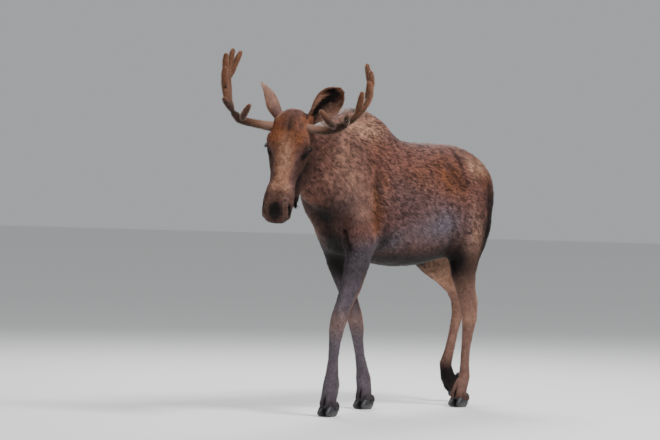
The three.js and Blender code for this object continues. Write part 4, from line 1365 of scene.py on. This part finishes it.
# piece: where it grows, how many blades, their width, its slot and its finish
REGIONS = {
    "coat_neck": ((triangle_part == neck_number) * 1.0, 50000, 0.0030, "body_coat", long_coat),
    "coat_shoulders": (is_trunk * (x_of >= SHOULDERS_FROM), 62000, 0.0032, "body_coat", long_coat),
    "coat_barrel": (is_trunk * (x_of >= BARREL_FROM) * (x_of < SHOULDERS_FROM), 64000, 0.0034, "body_coat",
                    long_coat),
    "coat_haunches": (is_trunk * (x_of < BARREL_FROM), 64000, 0.0034, "body_coat", long_coat),
    "coat_upper_legs": ((on_forelegs | on_hind_legs) * 1.0, 46000, 0.0024, "body_coat", flat_coat),
    "coat_lower_legs": (parts_named("_lower") * 1.0, 40000, 0.0019, "shank_coat", flat_coat),
    "coat_head": ((triangle_part == head_number) * open_skin * grows(middle_on_head), 60000, 0.0016,
                  "face_coat", flat_coat),
    "coat_ears": ((triangle_part >= len(FLESH)) * 1.0, 26000, 0.0016, "body_coat", flat_coat),
    "coat_tail_and_bell": (parts_named("tail", "bell") * 1.0, 9000, 0.0030, "body_coat", long_coat),
}
QUICK_SHARE, QUICK_WIDER = ((1.0, 1.0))

for seed, (name, (weights, number, width, slot_name, material)) in enumerate(REGIONS.items()):
    chance = np.random.default_rng(seed + COAT_SEED)
    roots = roots_on(skin_ground, weights * 1.0, int(number * QUICK_SHARE), chance)
    at, out, _, numbers = roots
    piece = blades(name, roots, lie(at, out, numbers), hair_length(at, numbers), width * QUICK_WIDER,
                   coat_height(at, numbers), material, chance)

# %% [markdown]
# ## Hair of the ears' edges
# Inside an ear, long pale hairs grow from the edges and lie across the hollow, which keeps flies out.

# %% Pale hairs inside the ears
FRINGE_LENGTH, FRINGE_WIDTH, FRINGE_STAND, FRINGE_BLADES = 0.036, 0.0014, 0.010, 420
FRINGE_EDGE = -0.55  # on the ear's front edge, as a share of the way round its hollow
FRINGE_WASHES = (0.25, 0.0, 0.75, 0.0)  # warm, dark, pale, slate

first_normals = skin_ground["normals"][skin_ground["corners"][:, 0]]
for seed, name in enumerate(EARS):
    chance = np.random.default_rng(seed + FRINGE_SEED)
    mine = triangle_part == HIDE.index(name)
    share, over, inner = ear_places(triangle_middle, first_normals, name)
    weights = mine * inner * (over < FRINGE_EDGE) * ramp(share, 0.02, 0.10) * ramp(share, 0.70, 0.45)
    at, out, uv, numbers = roots_on(skin_ground, weights, int(FRINGE_BLADES * QUICK_SHARE), chance)
    _, _, along, _, across = ear_axes(name)
    _, over, _ = ear_places(at, out, name)
    flow = along * 0.8 + np.outer(np.abs(over), across)
    flow -= out * (flow * out).sum(axis=1)[:, None]
    flow /= np.linalg.norm(flow, axis=1)[:, None]
    fringe = blades(f"fringe_{name}", (at, out, uv, numbers), flow, FRINGE_LENGTH, FRINGE_WIDTH,
                    FRINGE_STAND, flat_coat, chance, marks=FRINGE_WASHES)

# %% [markdown]
# ## Eyes
# The eye of a moose is a dark brown ball, wet and almost black, with a pupil that lies across it. The
# clear cornea over it is the shader's own coat. Round it sits the lid, a soft dark ring of bare skin
# that covers all but an almond of the ball.

# %% Eyeballs and lids
# steps of the lid from its edge outwards: how far from the middle of the opening, and its radius
LID_STEPS = ((0.92, 0.0181), (0.96, 0.0197), (1.03, 0.0212), (1.14, 0.0221), (1.30, 0.0216), (1.50, 0.0190))
LID_POINTS = 44
WIDEST = 1.75  # no part of the lid is further than this angle from the middle of the opening
LASHES, LASH_ARC = 90, (0.15 * math.pi, 0.85 * math.pi)  # along the upper lid
LASH_FROM = (1.02, 0.0212)  # how far out on the lid, and its radius there
LASH_LENGTH, LASH_WIDTH, LASH_RISE = 0.016, 0.0009, 0.006
PUPIL_SQUEEZE = (1.9, 3.2, 0.0)  # turns the oval of the pupil into a circle of radius 1
PORE = 0.0015  # metres

eye_glass = new_material("wet_eye")
gaze = add(eye_glass, "Attribute", {"attribute_name": "gaze"}).outputs["Vector"]
squeezed = add(eye_glass, "VectorMath", {"operation": "MULTIPLY"}, {0: gaze, 1: PUPIL_SQUEEZE}).outputs[0]
pupil = add(eye_glass, "VectorMath", {"operation": "LENGTH"}, {0: squeezed}).outputs["Value"]
in_iris = add(eye_glass, "MapRange", inputs={"Value": pupil, "From Min": 0.85, "From Max": 1.15}).outputs[0]
iris = add(eye_glass, "Mix", COLOURS, {
    MIX_SHARE: in_iris, MIX_A: linear("#040303"), MIX_B: linear("#4a2412")})
# a living ball under a film of tears: dark inside, with one small sharp light on the wet coat
ball_shader = add(eye_glass, "BsdfPrincipled", inputs={
    "Base Color": iris.outputs[MIX_RESULT], "Roughness": 0.25, "IOR": 1.376, "Specular IOR Level": 0.3,
    "Coat Weight": 0.7, "Coat Roughness": 0.03})
add(eye_glass, "OutputMaterial", inputs={"Surface": ball_shader.outputs["BSDF"]})

lid_skin = new_material("bare_lid_skin")
place = add(lid_skin, "TexCoord").outputs["Object"]
pores = add(lid_skin, "TexNoise", inputs={"Vector": place, "Scale": 1 / PORE, "Detail": 2.0}).outputs["Fac"]
lid_tone = add(lid_skin, "Mix", COLOURS, {
    MIX_SHARE: pores, MIX_A: linear("#0c0707"), MIX_B: linear("#2c1c18")})
lid_bump = add(lid_skin, "Bump", inputs={"Height": pores, "Strength": 0.4, "Distance": 0.0005})
# bare skin, finely creased and a little greasy: dark, and softer in its shine than the ball
lid_shader = add(lid_skin, "BsdfPrincipled", inputs={
    "Base Color": lid_tone.outputs[MIX_RESULT], "Roughness": 0.55, "Specular IOR Level": 0.2,
    "Normal": lid_bump.outputs["Normal"]})
add(lid_skin, "OutputMaterial", inputs={"Surface": lid_shader.outputs["BSDF"]})

# %% One eye after the other: the ball, the ring of the lid, and the lashes
for side, name in ((LEFT, "left"), (RIGHT, "right")):
    middle, slit_line, across, out = eye_axes(side)
    axes = np.array((slit_line, across, out))
    ball = bmesh.new()
    bmesh.ops.create_uvsphere(ball, u_segments=40, v_segments=24, radius=EYE_RADIUS)
    own = places_of(ball)
    for corner, place in zip(ball.verts, own):
        corner.co = middle + place @ axes
    if np.linalg.det(axes) < 0:
        bmesh.ops.reverse_faces(ball, faces=ball.faces[:])
    eyeball = finish_piece(ball, f"eyeball_{name}", [eye_glass])
    add_attribute(eyeball.data, "gaze", "FLOAT_VECTOR", own / EYE_RADIUS)
    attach(eyeball, "root")
    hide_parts(f"eye_{name}")

    lid = bmesh.new()
    ring = bmesh.ops.create_circle(lid, cap_ends=False, segments=LID_POINTS, radius=1)["verts"]
    edges = list(lid.edges)
    turns = {corner: math.atan2(corner.co.y, corner.co.x) for corner in ring}
    for step, (spread, radius) in enumerate(LID_STEPS):
        if step:
            grown = bmesh.ops.extrude_edge_only(lid, edges=edges)["geom"]
            fresh = [item for item in grown if isinstance(item, bmesh.types.BMVert)]
            edges = [item for item in grown if isinstance(item, bmesh.types.BMEdge)]
            old_turns, turns = turns, {}
            for corner in fresh:
                turns[corner] = old_turns[min(old_turns, key=lambda old: (old.co - corner.co).length)]
        for corner, turn in turns.items():
            angle = spread / math.hypot(math.cos(turn) / LID_HALF_LONG, math.sin(turn) / LID_HALF_TALL)
            angle = min(angle, WIDEST)
            outward = slit_line * math.cos(turn) + across * math.sin(turn)
            corner.co = Vector(middle + (out * math.cos(angle) + outward * math.sin(angle)) * radius)
        if step:
            edges = [edge for edge in edges if edge.verts[0] in turns and edge.verts[1] in turns]
    bmesh.ops.recalc_face_normals(lid, faces=lid.faces[:])
    if sum(Vector(out).dot(face.normal) for face in lid.faces) < 0:
        bmesh.ops.reverse_faces(lid, faces=lid.faces[:])
    lids = finish_piece(lid, f"lids_{name}", [lid_skin])
    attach(lids, "root")

    chance = np.random.default_rng(LASH_SEED)
    turns = chance.uniform(*LASH_ARC, LASHES)
    angle = LASH_FROM[0] / np.hypot(np.cos(turns) / LID_HALF_LONG, np.sin(turns) / LID_HALF_TALL)
    spread = np.outer(np.cos(turns), slit_line) + np.outer(np.sin(turns), across)
    ray = np.outer(np.cos(angle), out) + spread * np.sin(angle)[:, None]
    upward = across - ray * (ray @ across)[:, None]
    upward /= np.linalg.norm(upward, axis=1)[:, None]
    flow = ray - upward * (ray * upward).sum(axis=1)[:, None]
    roots = (middle + ray * LASH_FROM[1], upward, np.full((LASHES, 2), 0.5), np.full(LASHES, head_number))
    lashes = blades(f"lashes_{name}", roots, flow, LASH_LENGTH, LASH_WIDTH, LASH_RISE, flat_coat, chance,
                    marks=(0, 1.0, 0, 0))

# %% [markdown]
# ## Antlers
# In summer a bull's growing antlers are alive: soft velvet skin covers them, with round blunt ends and
# a short pile that stands straight out and catches the light along every edge. The pile's tips are
# painted pale, partly their own colour and partly a painted highlight along the rims, and the
# undersides and forks are darkened as painted shade.

# %% Antlers, as one surface each
ANTLER_VOXEL = 0.0036
ANTLER_PASSES = 8
VELVET_GRAIN, VESSEL_PATCH = 0.003, 0.05  # metres
VELVET_SWELL = 0.0015  # gives back what smoothing took
ANTLER_ROOT, ROOT_REACH, ROOT_SUNK_IN = (0.092, -0.042, 0.070), 0.045, 0.018
PILE_LENGTH, PILE_WIDTH, PILE_BLADES = 0.0055, 0.0012, 22000
SHADED_FORKS = {"left": (0.275, 0.010, 0.020), "right": (0.325, 0.0, 0.030)}  # the fork of each beam, darkened round it as painted shade

velvet = new_material("antler_velvet")
place = add(velvet, "TexCoord").outputs["Object"]
strand = add(velvet, "Attribute", {"attribute_name": "strand"})
along, base, shade = add(velvet, "SeparateXYZ", inputs={"Vector": strand.outputs["Vector"]}).outputs
vessels = add(velvet, "TexNoise", inputs={"Vector": place, "Scale": 1 / VESSEL_PATCH, "Detail": 4.0})
pile = add(velvet, "TexNoise", inputs={"Vector": place, "Scale": 1 / VELVET_GRAIN, "Detail": 2.0})
# how far up the pile: its tips are painted pale, partly their own colour and partly a painted highlight that
# stacks into pale rims along the edges
pile_tips_and_painted_rims = add(velvet, "MapRange", inputs={"Value": along, "From Min": 0.1, "From Max": 0.9})
# colours laid on in turn: vessels, the pile's pale tips, the pale root, and last the painted shade of
# undersides and forks
tone = linear("#35190d")
for share, over in ((vessels.outputs["Fac"], "#7d4a2e"), (pile_tips_and_painted_rims.outputs[0], "#e6b698"),
                    (base, "#b3907e"), (shade, "#1c0e08")):
    laid = add(velvet, "Mix", COLOURS, {MIX_SHARE: share, MIX_A: tone, MIX_B: linear(over)})
    tone = laid.outputs[MIX_RESULT]
velvet_bump = add(velvet, "Bump", inputs={"Height": pile.outputs["Fac"], "Strength": 0.6, "Distance": 0.0008})
# living skin with a downy pile: matt brown face on, and pale along its edges, where the pile catches light
velvet_shader = add(velvet, "BsdfPrincipled", inputs={
    "Base Color": tone, "Roughness": 0.9, "Sheen Weight": 1.0, "Sheen Roughness": 0.25,
    "Sheen Tint": linear("#ffdcc6"), "Normal": velvet_bump.outputs["Normal"]})
add(velvet, "OutputMaterial", inputs={"Surface": velvet_shader.outputs["BSDF"]})


def velvet_tones_and_painted_shade(places, outs, name, side):
    """How pale the velvet is, near the beam's root, and how dark with painted shade: on undersides and round
    the fork.
    """
    fork = by_antlers(side, SHADED_FORKS[name])
    pale = 0.5 * near(places, by_antlers(side, (0.11, 0.0, 0.0)), 0.085)
    # painted shade: darker where the velvet faces down and round each fork
    dark = 0.55 * ramp(-(outs @ head_up), 0.0, 0.8) + 0.9 * near(places, fork, 0.100)
    dark += 0.5 * near(places, fork + heading * 0.09 + head_up * 0.03, 0.070)
    return pale, np.clip(dark, 0, 0.85)


for side, name in ((LEFT, "left"), (RIGHT, "right")):
    nodes = [f"antler_{name}_{piece}" for piece in ("beam", "brow_tine", "palm")]
    horn = remeshed(merged_copy(nodes, SWELL), ANTLER_VOXEL)
    smoothed(horn, horn.verts[:], ANTLER_PASSES)
    root = from_head(np.array(ANTLER_ROOT) * (1, 1, side))
    for corner in horn.verts:
        away = np.array(corner.co) - root
        sink = ROOT_SUNK_IN * math.exp(-((away @ away) / ROOT_REACH ** 2) ** 2)
        corner.co -= Vector(head_left * side * sink)
    horn.normal_update()
    tips = places_of(horn)
    outs = np.array([corner.normal for corner in horn.verts])
    for corner, tip, outward in zip(horn.verts, tips, outs):
        corner.co = tip + outward * VELVET_SWELL
    antler = finish_piece(horn, f"antler_{name}", [velvet])
    pale, dark = velvet_tones_and_painted_shade(tips, outs, name, side)
    add_attribute(antler.data, "strand", "FLOAT_VECTOR", np.column_stack((0 * pale, pale, dark)))
    unwrap(antler)
    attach(antler, "root")
    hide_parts(*nodes)
    chance = np.random.default_rng(PILE_SEED)
    ground = ground_of(antler, np.full(len(tips), len(HIDE)))
    roots = roots_on(ground, np.ones(len(ground["area"])), int(PILE_BLADES * QUICK_SHARE), chance)
    flow = np.cross(roots[1], chance.normal(0, 1, (len(roots[1]), 3)))
    flow /= np.linalg.norm(flow, axis=1)[:, None]
    pile_hair = blades(f"velvet_{name}", roots, flow, PILE_LENGTH, PILE_WIDTH, PILE_LENGTH, velvet, chance,
                       marks=(0, 0, 0, 0), softness=0.9, own_tones=velvet_tones_and_painted_shade(*roots[:2], name, side))
    print(antler.name, len(antler.data.polygons), "quads")

# %% [markdown]
# ## Hooves
# A moose's hoof is two long pointed claws of black horn, worn grey at the ground, with fine rings of
# growth round them. The two small claws behind, high on the foot, are made here as well.

# %% Hooves and dewclaws
HOOF_VOXEL, HOOF_PASSES = 0.0030, 6
RING, SCUFF = 0.01385, 0.012  # metres from one ring of growth to the next, and across a scuff
WAVE_LENGTH = 0.314  # metres from crest to crest of a wave texture whose scale is 1
NARROWER, NARROWER_AT_TOP, NARROWS_FROM, NARROWS_OVER = 0.97, 0.10, 0.026, 0.035  # to fit under the hair
SOLE_BAND = 0.03  # below this height the horn is eased down onto the floor
DEWCLAW_LINE = ((-0.042, 0.086), (-0.064, 0.036))  # ahead and up on the foot, at its root and its tip
DEWCLAW_APART, DEWCLAW_HALF = 0.027, (0.011, 0.012, 0.024)

horn_black = new_material("hoof_horn")
place = add(horn_black, "TexCoord").outputs["Object"]
rings = add(horn_black, "TexWave", {"bands_direction": "Z"},
            {"Vector": place, "Scale": WAVE_LENGTH / RING, "Distortion": 3.0, "Detail": 2.0})
scuffs = add(horn_black, "TexNoise", inputs={"Vector": place, "Scale": 1 / SCUFF, "Detail": 5.0})
height_up = add(horn_black, "SeparateXYZ", inputs={"Vector": place}).outputs["Z"]
worn = add(horn_black, "MapRange", inputs={
    "Value": height_up, "From Min": 0.03, "From Max": 0.0, "To Max": 0.5})
tone = linear("#101011")
for share, over in ((scuffs.outputs["Fac"], "#303034"), (worn.outputs[0], "#5f5c5a")):
    laid = add(horn_black, "Mix", COLOURS, {MIX_SHARE: share, MIX_A: tone, MIX_B: linear(over)})
    tone = laid.outputs[MIX_RESULT]
horn_bump = add(horn_black, "Bump", inputs={
    "Height": rings.outputs["Fac"], "Strength": 0.35, "Distance": 0.0008})
# horn, grown and worn: black with a dull shine, and greyer and rougher near the ground
horn_shader = add(horn_black, "BsdfPrincipled", inputs={
    "Base Color": tone, "Roughness": 0.52, "IOR": 1.54, "Normal": horn_bump.outputs["Normal"]})
add(horn_black, "OutputMaterial", inputs={"Surface": horn_shader.outputs["BSDF"]})

# %% One foot after the other
for leg in LEGS:
    claws = remeshed(merged_copy([f"{leg}_hooves"]), HOOF_VOXEL)
    smoothed(claws, claws.verts[:], HOOF_PASSES)
    to_frame = foot_matrix(leg)
    to_foot = to_frame.inverted()
    for corner in claws.verts:
        x, y, z = to_foot @ corner.co
        share = min(max((z - NARROWS_FROM) / NARROWS_OVER, 0), 1)
        narrow = NARROWER - NARROWER_AT_TOP * share
        corner.co = to_frame @ Vector((FOOT_MIDDLE[0] + (x - FOOT_MIDDLE[0]) * narrow, y * narrow, z))
    sole = min(corner.co.z for corner in claws.verts)
    for corner in claws.verts:
        corner.co.z -= sole * max(0, 1 - corner.co.z / SOLE_BAND)
    (ahead, up), (ahead_end, up_end) = DEWCLAW_LINE
    lean = Matrix.Rotation(math.atan2(ahead - ahead_end, up - up_end), 4, "Y")
    for half in (LEFT, RIGHT):
        at = Vector(((ahead + ahead_end) / 2, half * DEWCLAW_APART, (up + up_end) / 2))
        horn_tip = to_frame @ Matrix.Translation(at) @ lean @ Matrix.Diagonal((*DEWCLAW_HALF, 1))
        bmesh.ops.create_uvsphere(claws, u_segments=16, v_segments=10, radius=1, matrix=horn_tip)
    print(leg, "hooves:", len(claws.faces), "faces")
    hooves = finish_piece(claws, f"hooves_{leg}", [horn_black])
    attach(hooves, "root")
    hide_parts(f"{leg}_hooves")

# %% [markdown]
# ## Last look
# The box of the visual model is printed beside the solids' box; hair may stand a little proud of it.

# %% Print the two boxes, and finish
visual_low, visual_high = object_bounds()
sizes = {"cad": [list(cad_low), list(cad_high)], "visual": [list(visual_low), list(visual_high)]}
for name, (low, high) in sizes.items():
    print(name, [round(v, 3) for v in low], [round(v, 3) for v in high])
